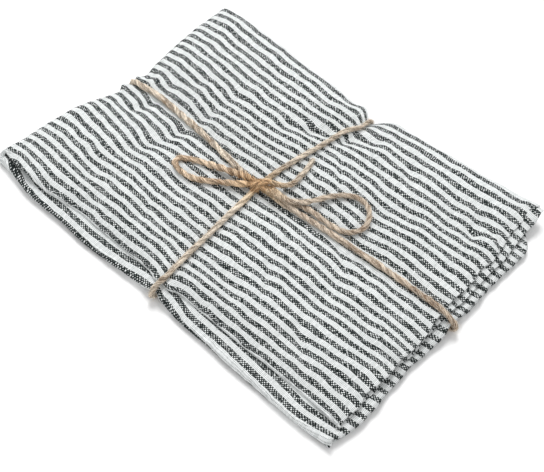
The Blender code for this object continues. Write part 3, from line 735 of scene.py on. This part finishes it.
def turns_of(run, pitch, seed):
    """How far the plies have turned, in radians: one turn a pitch, now looser and now tighter."""
    return 2 * np.pi * (run / pitch + 0.22 * crumple(run, 0 * run, seed, *TURN_WAVES))


def strand_mesh(path, across, pitch, seed, girth):
    """A two-ply twine: the outline of two circles, turned once round in each pitch, carried
    along the path, a little thicker and thinner on its way, with rounded ends.  girth is a table
    of (distance along, thickness as a share).  Returns vertices, faces and (length along, share
    round the ply) of each vertex."""
    run = run_of(path)
    first, second = frames_of(path, across)
    angle = np.linspace(0, 2 * np.pi, ROUND_POINTS, endpoint=False)
    draw_out = 1 + 0.09 * crumple(run, 0 * run, seed + 1, *GIRTH_WAVES)
    draw_out = draw_out * np.interp(run, *np.transpose(girth))
    tip = np.clip(np.minimum(run, run[-1] - run) / (TWINE / 2), 0, 1)
    rounded = np.sqrt(np.clip(1 - (1 - tip) ** 2, 0.04, 1))
    size = TWINE / 2 * draw_out * rounded
    around = angle[None, :] + turns_of(run, pitch, seed)[:, None]
    lengths = run[:, None] + 0.05 * np.cos(angle)
    sides = 0.05 * np.sin(angle) + 0 * run[:, None]
    rough = 1 + 0.07 * crumple(lengths, sides, seed + 2, *ROUGH_WAVES)
    reach = size[:, None] * ply_outline(angle)[None, :] * rough
    outward = outwards(around, first[:, None, :], second[:, None, :])
    points = path[:, None, :] + reach[..., None] * outward * np.array(FLATTENED)
    points[..., 2] = np.maximum(points[..., 2], LOWEST)
    return tube_mesh(points, run, path)


def tube_mesh(points, run, path):
    """A closed tube over rings of points, with a vertex in the middle of each end."""
    rings, count = points.shape[:2]
    index = np.arange(rings * count).reshape(rings, count)
    index = np.concatenate([index, index[:, :1]], axis=1)
    faces = quads(index)[:, ::-1].tolist()
    for ring, middle, way in ((0, rings * count, -1), (-1, rings * count + 1, 1)):
        pairs = np.stack([index[ring, :-1], index[ring, 1:]], axis=-1)
        faces += np.column_stack([np.full(count, middle), pairs[:, ::way]]).tolist()
    vertices = np.concatenate([points.reshape(-1, 3), path[:1], path[-1:]])
    share = np.broadcast_to(np.arange(count) / count, (rings, count))
    length = np.broadcast_to(run[:, None], (rings, count))
    flat = np.stack([length, share], axis=-1).reshape(-1, 2)
    return vertices, faces, np.concatenate([flat, [[run[0], 0]], [[run[-1], 0]]])


def joined(parts):
    """Several meshes as one: their vertices, faces and flat places after each other."""
    faces, start = [], 0
    for part in parts:
        faces += [[corner + start for corner in face] for face in part[1]]
        start += len(part[0])
    vertices, flat = [np.concatenate([part[item] for part in parts]) for item in (0, 2)]
    return vertices, faces, flat


def fibre_mesh(path, across, pitch, per_metre, longest, seed):
    """Fibres of the twine, each a thin three-sided spike of four steps.  A fibre follows the
    plies' turn and arches a little off the surface, and a few of them stray further out.  The
    places, lengths and leanings are drawn by a seeded generator, all fibres at once."""
    draw = np.random.default_rng(seed)
    run = run_of(path)
    count = int(run[-1] * per_metre)
    place = np.sort(draw.uniform(0.001, run[-1] - 0.001, count))
    first, second = frames_of(path, across)
    steps = np.linspace(0, 1, FIBRE_STEPS)[None, :]
    length = longest * draw.uniform(0.2, 1, count)[:, None]
    lean = np.sign(draw.uniform(-1, 1, count))[:, None] * draw.uniform(0.5, 1, count)[:, None]
    at = np.clip(place[:, None] + length * lean * steps, 0, run[-1])
    turned = np.interp(at, run, turns_of(run, pitch, seed))
    angle = draw.uniform(0, 2 * math.pi, count)[:, None] + turned
    angle = angle + draw.normal(0, 0.5, count)[:, None] * steps
    arch = draw.uniform(0.0, 0.22, count)[:, None] * np.sin(math.pi * steps)
    stray = draw.uniform(0, 1, count)[:, None] ** STRAY_RARITY * length * steps ** 1.4
    away = TWINE / 2 * (0.86 + arch) + stray
    centre, flat_way, up_way = [between(at, run, field) for field in (path, first, second)]
    outward = outwards(angle, flat_way, up_way)
    line = centre + away[..., None] * outward * np.array(FLATTENED)
    heading = unit(np.gradient(line, axis=1))
    beside = unit(np.cross(heading, outward))
    above = np.cross(beside, heading)
    width = (FIBRE_RADIUS * (1.08 - 0.85 * steps))[..., None, None]
    corner = 2 * math.pi * np.arange(3) / 3
    points = line[:, :, None, :] + width * outwards(
        corner, beside[:, :, None, :], above[:, :, None, :])
    points[..., 2] = np.maximum(points[..., 2], LOWEST)
    index = np.arange(count * FIBRE_STEPS * 3).reshape(count, FIBRE_STEPS, 3)
    index = np.concatenate([index, index[:, :, :1]], axis=2)
    corners = [index[:, :-1, :-1], index[:, :-1, 1:], index[:, 1:, 1:], index[:, 1:, :-1]]
    faces = np.stack(corners, axis=-1).reshape(-1, 4).tolist()
    faces += index[:, 0, 2::-1].tolist() + index[:, -1, :3].tolist()
    tone = np.stack([place + draw.uniform(0, 5, count), np.zeros(count)], axis=-1)
    return points.reshape(-1, 3), faces, np.repeat(tone, FIBRE_STEPS * 3, axis=0)


# ---- material nodes
def sign(operation):
    """A method that adds one node of maths for a sign."""
    return lambda value, *others: value.net.math(operation, value, *others)


class Value:
    """A node's socket that takes the usual signs, each of which adds one node of maths."""
    __add__ = sign("ADD")
    __sub__ = sign("SUBTRACT")
    __mul__ = sign("MULTIPLY")
    __truediv__ = sign("DIVIDE")
    __pow__ = sign("POWER")
    __abs__ = sign("ABSOLUTE")

    def __init__(self, net, socket):
        self.net = net
        self.socket = socket


class Net:
    """A new material's nodes, with short calls that add a node each."""

    def __init__(self, name):
        self.material = bpy.data.materials.new(name)
        self.material.use_nodes = True
        self.tree = self.material.node_tree
        self.shader = self.tree.nodes["Principled BSDF"]

    def node(self, kind, **settings):
        made = self.tree.nodes.new(kind)
        for name, value in settings.items():
            setattr(made, name, value)
        return made

    def put(self, socket, value):
        """Links a socket to another, or sets its value."""
        value = value.socket if isinstance(value, Value) else value
        if isinstance(value, bpy.types.NodeSocket):
            self.tree.links.new(value, socket)
        else:
            socket.default_value = value

    def fill(self, made, *values):
        """Puts values in a node's sockets in their order.  Returns the node's first output."""
        for socket, value in zip(made.inputs, values):
            self.put(socket, value)
        return Value(self, made.outputs[0])

    def math(self, operation, *values):
        return self.fill(self.node("ShaderNodeMath", operation=operation), *values)

    def ramp(self, *values):
        """A straight ramp: the value, its low and high end, and what comes out at each end."""
        return self.fill(self.node("ShaderNodeMapRange", clamp=True), *values)

    def vector(self, *values):
        return self.fill(self.node("ShaderNodeCombineXYZ"), *values)

    def split(self, vector):
        made = self.node("ShaderNodeSeparateXYZ")
        self.put(made.inputs[0], vector)
        return [Value(self, socket) for socket in made.outputs]

    def blend(self, factor, first, second, kind="MIX"):
        made = self.node("ShaderNodeMix", data_type="RGBA", blend_type=kind)
        for socket, value in (("Factor", factor), (6, first), (7, second)):
            self.put(made.inputs[socket], value)
        return made.outputs[2]

    def noise(self, place, detail=2, roughness=0.5, scale=1):
        made = self.node("ShaderNodeTexNoise")
        for name, value in (("Vector", place), ("Scale", scale), ("Detail", detail),
                            ("Roughness", roughness)):
            self.put(made.inputs[name], value)
        return Value(self, made.outputs["Fac"])

    def flat(self):
        """The two coordinates of the piece's own UV map, in metres."""
        return self.split(self.node("ShaderNodeUVMap", uv_map=UV_NAME).outputs[0])[:2]

    def bump(self, height, distance):
        made = self.node("ShaderNodeBump")
        self.put(made.inputs["Height"], height)
        made.inputs["Strength"].default_value = 1
        made.inputs["Distance"].default_value = distance
        self.put(self.shader.inputs["Normal"], made.outputs[0])

    def surface(self, *values):
        """Base colour, roughness, gloss, and the weight and tint of the sheen."""
        for name, value in zip(FINISH, values):
            self.put(self.shader.inputs[name], value)


def striped_weave(settings):
    """Plain weave of white weft and striped warp.  Both threads are counted from the flat place:
    where the two counts add up to an odd number the white weft shows on a dark stripe as a small
    lozenge.  The warp is dark within a quarter of a repeat either side of a stripe's middle."""
    net = Net("striped_cotton")
    u, v = net.flat()
    slow = net.noise(net.vector(u * 90, v * 110), 3, 0.6)
    drift = (slow - 0.5) * (settings.thread * 1.5)
    warp = (v + drift) / settings.thread
    weft = (u + drift) / (settings.thread * 1.04)
    warp_count, weft_count = [net.math("FLOOR", thread) for thread in (warp, weft)]
    across, down = [abs(net.math("FRACT", thread) - 0.5) for thread in (warp, weft)]
    odd = net.math("FRACT", (warp_count + weft_count) * 0.5) * 2
    scatter = net.node("ShaderNodeTexWhiteNoise", noise_dimensions="2D")
    net.put(scatter.inputs["Vector"], net.vector(warp_count, weft_count))
    chance = scatter.outputs["Value"]
    clump = net.noise(net.vector(warp_count * 0.45, weft_count * 0.45, 5), 1)
    open_share = net.ramp(chance, 0, 1, -0.12, 0.12) + net.ramp(clump, 0.35, 0.65, 0.10, 0.40)
    wide = net.ramp(open_share - across, -0.03, 0.03)
    tall = net.ramp(open_share + 0.08 - down, -0.03, 0.03)
    threads = round(settings.pitch / settings.thread)
    share = net.math("FRACT", (warp_count + (threads // 4 + 0.5)) / threads)
    uneven = net.noise(net.vector(u * 110, warp_count * 0.37), 3)
    faded = net.noise(net.vector(u * 700, warp_count * 1.7), 1)
    tone = net.ramp(uneven + faded * 0.5, 0.45, 1.05)
    dark = net.blend(tone, settings.dark_yarn, settings.faded_yarn)
    weft_tone = net.noise(net.vector(v * 160, weft_count * 0.61))
    white = net.blend(net.ramp(weft_tone, 0.3, 0.7), settings.white_yarn, settings.cream_yarn)
    striped = net.blend(odd * (wide * tall), dark, white)
    # painted shade in the gaps where four threads meet, larger or smaller at random
    gap_shade = net.ramp(across, 0.24, 0.42) * net.ramp(down, 0.20, 0.40)
    gap_shade = gap_shade * net.ramp(chance, 0.15, 0.75, 0.25, 1)
    white_with_gap_shade = net.blend(gap_shade, white, settings.gap_shade)
    colour = net.blend(net.math("LESS_THAN", share, 0.5), white_with_gap_shade, striped)
    # painted shade along the borders between the threads, multiplied into the colour
    between_yarns = net.math("MAXIMUM", net.ramp(across, 0.40, 0.5), net.ramp(down, 0.40, 0.5))
    colour = net.blend(between_yarns * 0.20, colour, SHADE_BETWEEN_YARNS, "MULTIPLY")
    net.bump(between_yarns * -0.8 + 1 + odd * 0.25, settings.thread * 0.20)
    net.surface(colour, 0.9, 0.12, 0.05, COTTON_SHEEN)
    return net.material


def jute(name, pale, deep, shade):
    """Jute: streaks that run along each ply, from the length along the twine and the place round
    it taken as a circle so that they close, with painted shade that darkens the grooves between
    the plies and the low hollows between the fibres, and a fine ridge for each fibre.  The twine
    is duller towards the hems and warmer round the knot."""
    net = Net(name)
    length, share = net.flat()
    angle = share * (2 * math.pi)
    cosine, sine = net.math("COSINE", angle), net.math("SINE", angle)
    streaks = net.noise(net.vector(length * 140, cosine * 2.8, sine * 2.8), 4, 0.7)
    fibres = net.noise(net.vector(length * 620, cosine * 6, sine * 6), 2, 0.6)
    patches = net.noise(net.vector(length * 40, 0.3))
    tone = net.ramp(streaks + (patches - 0.5) * 0.6, 0.38, 0.52)
    colour = net.blend(tone, deep, pale)
    # painted shade: darker in the groove between the two plies, and in the hollows between the
    # fibres where their bump is low
    colour = net.blend(abs(sine) ** 5 * 0.68, colour, shade, "MULTIPLY")
    colour = net.blend(net.ramp(fibres, 0.36, 0.47, 0.9, 0), colour, shade, "MULTIPLY")
    x, y, _ = net.split(net.node("ShaderNodeTexCoord").outputs["Object"])
    colour = net.blend(net.ramp(x, *DULL_FROM_TO, 0, 0.16), colour, DULL_JUTE)
    from_knot = net.math("SQRT", x ** 2 + (y + 0.006) ** 2)
    colour = net.blend(net.ramp(from_knot, *KNOT_FROM_TO, 0.9, 0), colour, KNOT_TINT, "MULTIPLY")
    net.bump(fibres + streaks, 0.0005)
    net.surface(colour, 0.85, 0.15, 0.15, JUTE_SHEEN)
    return net.material


def pale_floor(colour):
    """A plain pale floor: one tone with a very faint mottle."""
    net = Net("studio_floor")
    mottle = net.noise(net.node("ShaderNodeTexCoord").outputs["Object"], scale=3)
    darker = tuple(0.985 * value for value in colour[:3]) + (1.0,)
    net.surface(net.blend(mottle, tuple(colour), darker), 0.9, 0.1, 0, darker)
    return net.material


# ---- making objects
def mesh_piece(name, shape, material):
    """A piece whose place is in its mesh, smooth, with the flat place as its UV map."""
    vertices, faces, flat = shape
    mesh = bpy.data.meshes.new(name)
    mesh.from_pydata(np.asarray(vertices).tolist(), [], [list(face) for face in faces])
    corners = np.empty(len(mesh.loops), dtype=np.int32)
    mesh.loops.foreach_get("vertex_index", corners)
    layer = mesh.uv_layers.new(name=UV_NAME)
    layer.data.foreach_set("uv", np.asarray(flat, dtype=np.float32)[corners].ravel())
    mesh.shade_smooth()
    mesh.materials.append(material)
    mesh.update()
    piece = add_object(name, mesh)
    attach(piece, BODY)
    return piece


def add_object(name, data):
    made = bpy.data.objects.new(name, data)
    bpy.context.scene.collection.objects.link(made)
    return made


# ---- settings
def number_setting(name, description, default, **more):
    return FloatProperty(name=name, description=description, default=default, **more)


def size_setting(name, description, default, least=0.0):
    return number_setting(name, description, default, min=least, unit="LENGTH", precision=5)


def colour_setting(name, description, *tone):
    return FloatVectorProperty(name=name, description=description, subtype="COLOR", size=4,
                               default=tone + (1.0,), min=0.0, max=1.0)


class ClothSettings(bpy.types.PropertyGroup):
    thickness: size_setting("Thickness", "Thickness of one layer of the cloth", 0.0008, 0.0003)
    hem_thickness: size_setting("Hem thickness", "Thickness at the turned hem", 0.0015, 0.0003)
    pitch: size_setting("Stripe repeat", "One dark and one white stripe", FLAT_WIDTH / 60, 0.002)
    thread: size_setting("Thread", "Distance between two warp threads", FLAT_WIDTH / 480, 0.0002)
    crumple: size_setting("Crumple", "Height of the small unevenness of the top", 0.0005)
    slack: size_setting("Slack", "How far the stripes stray sideways in the sheet", 0.0005)
    edge_wobble: size_setting("Edge wobble", "How far edges and folds stray sideways", 0.0005)
    hem_wobble: size_setting("Hem wobble", "How far the hems stray by small waves", 0.0011)
    hem_flutter: size_setting("Hem flutter", "How far the hems wave up and down", 0.0007)
    dark_yarn: colour_setting("Dark yarn", "The dark warp", 0.006, 0.010, 0.010)
    faded_yarn: colour_setting("Faded yarn", "The dark warp where worn", 0.028, 0.037, 0.036)
    white_yarn: colour_setting("White yarn", "The weft and the white warp", 0.89, 0.91, 0.91)
    cream_yarn: colour_setting("Shaded yarn", "The white yarn's darker tone", 0.68, 0.71, 0.705)
    # painted shade in the gaps between the white threads
    gap_shade: colour_setting("Gaps", "Gaps between the white threads", 0.12, 0.135, 0.135)


class TwineSettings(bpy.types.PropertyGroup):
    pitch: size_setting("Ply pitch", "Length in which the plies turn once round", 0.0170, 0.002)
    fibres_per_metre: IntProperty(
        name="Fibres", description="Fibres on a metre of twine", default=6500, min=0)
    fibre_length: size_setting("Fibre length", "Length of the longest fibre", 0.0060, 0.0005)
    pale: colour_setting("Pale jute", "Light tone of the wraps", 0.97, 0.86, 0.71)
    deep: colour_setting("Deep jute", "Dark tone of the wraps", 0.30, 0.215, 0.145)
    warm: colour_setting("Warm jute", "Light tone of bow and knot", 1.0, 0.80, 0.59)
    brown: colour_setting("Brown jute", "Dark tone of bow and knot", 0.34, 0.21, 0.12)
    hair: colour_setting("Stray fibres", "Light tone of the fibres", 0.96, 0.88, 0.76)
    # colour of the painted shade in the grooves between the plies and the hollows between the
    # fibres
    shade: colour_setting("Groove shade", "What darkens grooves and flecks", 0.13, 0.09, 0.06)


class StudioSettings(bpy.types.PropertyGroup):
    lens: number_setting("Lens", "Focal length on a 36 mm wide sensor", 76.42, unit="CAMERA")
    camera_place: FloatVectorProperty(
        name="Camera", description="Where the camera stands", subtype="TRANSLATION", size=3,
        unit="LENGTH", default=(0.39141, -0.41260, 0.70250))
    elevation: number_setting(
        "Elevation", "How far the camera looks down", math.radians(52.952), unit="ROTATION")
    azimuth: number_setting(
        "Azimuth", "How far the camera is turned from +Y", math.radians(43.051), unit="ROTATION")
    key: number_setting("Key light", "Power of the large soft light", 84.0, min=0.0, unit="POWER")
    fill: number_setting("Fill", "Brightness of the surroundings", 0.80, min=0.0)
    floor: colour_setting("Floor", "Colour of the floor", 0.93, 0.93, 0.93)


# ---- the pieces
# One row for each strand: its name, its route, the way its plies start from, how it lies and where
# it ends, whether it has the bow's warm finish, its pitch as a share of the setting, its seed, and
# its thickness as a share at distances along it.
X_WAY, Y_WAY, Z_WAY = np.eye(3)
Strand = namedtuple("Strand", "name route across lay far_end warm pitch seed girth")
STRANDS = [
    Strand("twine_lengthwise", lambda: route(
        True, FOLD_STATIONS, OVER_FOLD, BELOW_LENGTHWISE, OVER_HEMS, HEM_STATIONS),
        Y_WAY, "taut", "object", False, 1.9, 41,
        [(0, 1.15), (0.05, 1.3), (0.10, 1.3), (0.13, 1.4), (0.147, 1.25), (0.157, 0.9),
         (0.55, 1.0), (0.6, 1.1), (0.69, 1.1)]),
    Strand("twine_crosswise", lambda: route(
        False, FAR_STATIONS, OVER_FAR, BELOW_CROSSWISE, OVER_NEAR, NEAR_STATIONS),
        X_WAY, "taut", "object", False, 1.5, 43,
        [(0, 0.95), (0.085, 0.92), (0.104, 0.76), (0.125, 0.74), (0.36, 1.0), (0.42, 1.05),
         (0.48, 1.1)]),
    Strand("bow_left", lambda: lying(LEFT_LOOP), Z_WAY, "loose", "object", True, 1.1, 47,
           [(0, 1.4), (0.03, 1.35), (0.05, 1.1), (0.067, 0.95), (0.09, 1.1), (0.134, 1.35)]),
    Strand("bow_right", lambda: lying(RIGHT_LOOP), Z_WAY, "loose", "object", False, 1.2, 53,
           [(0, 1.1), (0.04, 1.0), (0.1, 0.9), (0.15, 1.0), (0.191, 1.1)]),
    Strand("twine_end", lambda: lying(FREE_END), Z_WAY, "loose", "bare", False, 1.3, 59,
           [(0, 1.1), (0.02, 0.95), (0.045, 0.9), (0.052, 0.7)]),
]

# The strands that make the knot: x, y and z in millimetres from the cloth under its middle.
KNOT_PLACE = (-1, -7)
KNOT_GIRTH = [(0, 0.9), (1, 0.9)]
KNOT_WRAPS = [
    [(-1.7, -7.6, 1.8), (-1.9, -5.8, 3.8), (-2.3, -3.4, 6.6), (-2.2, -0.4, 8),
     (-1.2, 2.4, 7), (-0.4, 4.6, 4.6), (-0.5, 6.8, 2.6), (-0.6, 9, 2)],
    [(0.6, -5, 2), (0.9, -3.4, 4.8), (1.4, -0.8, 7), (2.4, 2, 7.8), (3.3, 4.4, 7.7),
     (4.4, 6.5, 7.3), (6.4, 8, 6.7)],
    [(-9.6, -0.4, 6.3), (-7.2, 0.2, 6.4), (-4, 0.5, 5.6), (0, 0.3, 4.7), (4, 0.1, 5.6),
     (7.4, 0.1, 6.5), (10, 0.2, 6.7)],
    [(-9.2, -6.2, 4.6), (-7.1, -4.9, 5.2), (-4, -2.7, 5), (0, 0.2, 4), (4, 3.2, 4),
     (8.4, 5.2, 4.1), (11, 5.4, 3.5)],
    [(-10, 2, 2), (-5, 1.5, 2.1), (0, 1, 2.2), (4, 1, 2.1), (9, 1.1, 2)],
]


def knot_routes():
    """The knot's wraps as paths: each row of the table set on the cloth under the knot."""
    place = np.array([KNOT_PLACE]) * MM
    ground = top_at(place[:, 0], place[:, 1]) + CLEAR
    base = np.concatenate([place[0], ground])
    return [along_table(base + MM * np.array(wrap), STATION / 2) for wrap in KNOT_WRAPS]


class TOWEL_OT_cloth(bpy.types.Operator):
    """Make the striped cloth, folded in quarters"""
    bl_idname = "tea_towel.cloth"
    bl_label = "Cloth"

    def execute(self, context):
        settings = context.scene.tea_towel_cloth
        shape = thicken(*cloth_surface(settings))
        cloth = mesh_piece("towel_cloth", shape, striped_weave(settings))
        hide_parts("towel")
        return {"FINISHED"}


class TOWEL_OT_twine(bpy.types.Operator):
    """Make the strands, the knot and their loose fibres"""
    bl_idname = "tea_towel.twine"
    bl_label = "Twine"

    def execute(self, context):
        settings = context.scene.tea_towel_twine
        pale = jute("pale_jute", settings.pale, settings.deep, settings.shade)
        warm = jute("warm_jute", settings.warm, settings.brown, settings.shade)
        hair = jute("pale_fibres", settings.hair, settings.pale, settings.deep)
        fuzz = (settings.fibres_per_metre, settings.fibre_length)
        wraps, loose = [], []
        for number, path in enumerate(knot_routes()):
            held = (path, Z_WAY if number > 1 else X_WAY, settings.pitch)
            wraps.append(strand_mesh(*held, 61 + number, KNOT_GIRTH))
            loose.append(fibre_mesh(*held, *fuzz, 71 + number))
        knot = mesh_piece("knot_wraps", joined(wraps), warm)
        knot_fibres = mesh_piece("knot_fibres", joined(loose), warm)
        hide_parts("twine_knot")
        for strand in STRANDS:
            path = along_table(strand.route(), STATION)
            held = (path, strand.across, settings.pitch * strand.pitch)
            body, halo = (warm, warm) if strand.warm else (pale, hair)
            shape = strand_mesh(*held, strand.seed, strand.girth)
            piece = mesh_piece(strand.name + "_strand", shape, body)
            shape = fibre_mesh(*held, *fuzz, strand.seed)
            fibres = mesh_piece(strand.name + "_fibres", shape, halo)
            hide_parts(strand.name)
            going_with = [fibres]
            if strand.name == "twine_crosswise":
                going_with += [knot, knot_fibres]
        return {"FINISHED"}


class TOWEL_OT_studio(bpy.types.Operator):
    """Make the floor, the soft lights and the camera"""
    bl_idname = "tea_towel.studio"
    bl_label = "Studio"

    def execute(self, context):
        settings = context.scene.tea_towel_studio
        scene = context.scene
        scene.view_settings.view_transform = "Standard"
        mesh = bpy.data.meshes.new("studio_floor")
        corners = [(-1, -1), (1, -1), (1, 1), (-1, 1)]
        mesh.from_pydata([(FLOOR_REACH * x, FLOOR_REACH * y, FLOOR_HEIGHT) for x, y in corners],
                         [], [(0, 1, 2, 3)])
        mesh.materials.append(pale_floor(settings.floor))
        add_object("studio_floor", mesh)
        world = bpy.data.worlds.new("studio")
        world.use_nodes = True
        sky = world.node_tree.nodes["Background"]
        sky.inputs["Color"].default_value = (1.0, 1.0, 1.0, 1.0)
        sky.inputs["Strength"].default_value = settings.fill
        scene.world = world
        light = bpy.data.lights.new("key_light", "AREA")
        light.shape = "DISK"
        light.size = KEY_SIZE
        light.energy = settings.key
        key = add_object("key_light", light)
        key.location = KEY_PLACE
        key.rotation_euler = [math.radians(angle) for angle in KEY_TURN]
        lens = bpy.data.cameras.new("photo_view")
        lens.sensor_fit = "HORIZONTAL"
        lens.sensor_width = 36.0
        lens.lens = settings.lens
        lens.clip_start = 0.01
        camera = add_object("photo_view", lens)
        camera.location = settings.camera_place
        camera.rotation_euler = (math.pi / 2 - settings.elevation, 0, settings.azimuth)
        scene.camera = camera
        return {"FINISHED"}


class TOWEL_PT_panel(bpy.types.Panel):
    """Buttons and sizes for the tea towel"""
    bl_label = "Tea towel"
    bl_idname = "TOWEL_PT_panel"
    bl_space_type = "VIEW_3D"
    bl_region_type = "UI"
    bl_category = "Tea towel"

    def draw(self, context):
        for operator, group, _ in GROUPS:
            settings = getattr(context.scene, group)
            box = self.layout.box()
            box.operator(operator.bl_idname)
            for name in settings.__annotations__:
                box.prop(settings, name)


GROUPS = (
    (TOWEL_OT_studio, "tea_towel_studio", StudioSettings),
    (TOWEL_OT_twine, "tea_towel_twine", TwineSettings),
    (TOWEL_OT_cloth, "tea_towel_cloth", ClothSettings),
)


def register():
    for operator, group, settings in GROUPS:
        bpy.utils.register_class(settings)
        bpy.utils.register_class(operator)
        setattr(bpy.types.Scene, group, PointerProperty(type=settings))
    bpy.utils.register_class(TOWEL_PT_panel)


def unregister():
    bpy.utils.unregister_class(TOWEL_PT_panel)
    for operator, group, settings in GROUPS:
        delattr(bpy.types.Scene, group)
        bpy.utils.unregister_class(operator)
        bpy.utils.unregister_class(settings)


def main():
    register()
    bpy.ops.tea_towel.studio()
    bpy.ops.tea_towel.twine()
    bpy.ops.tea_towel.cloth()


if __name__ == "__main__":
    main()
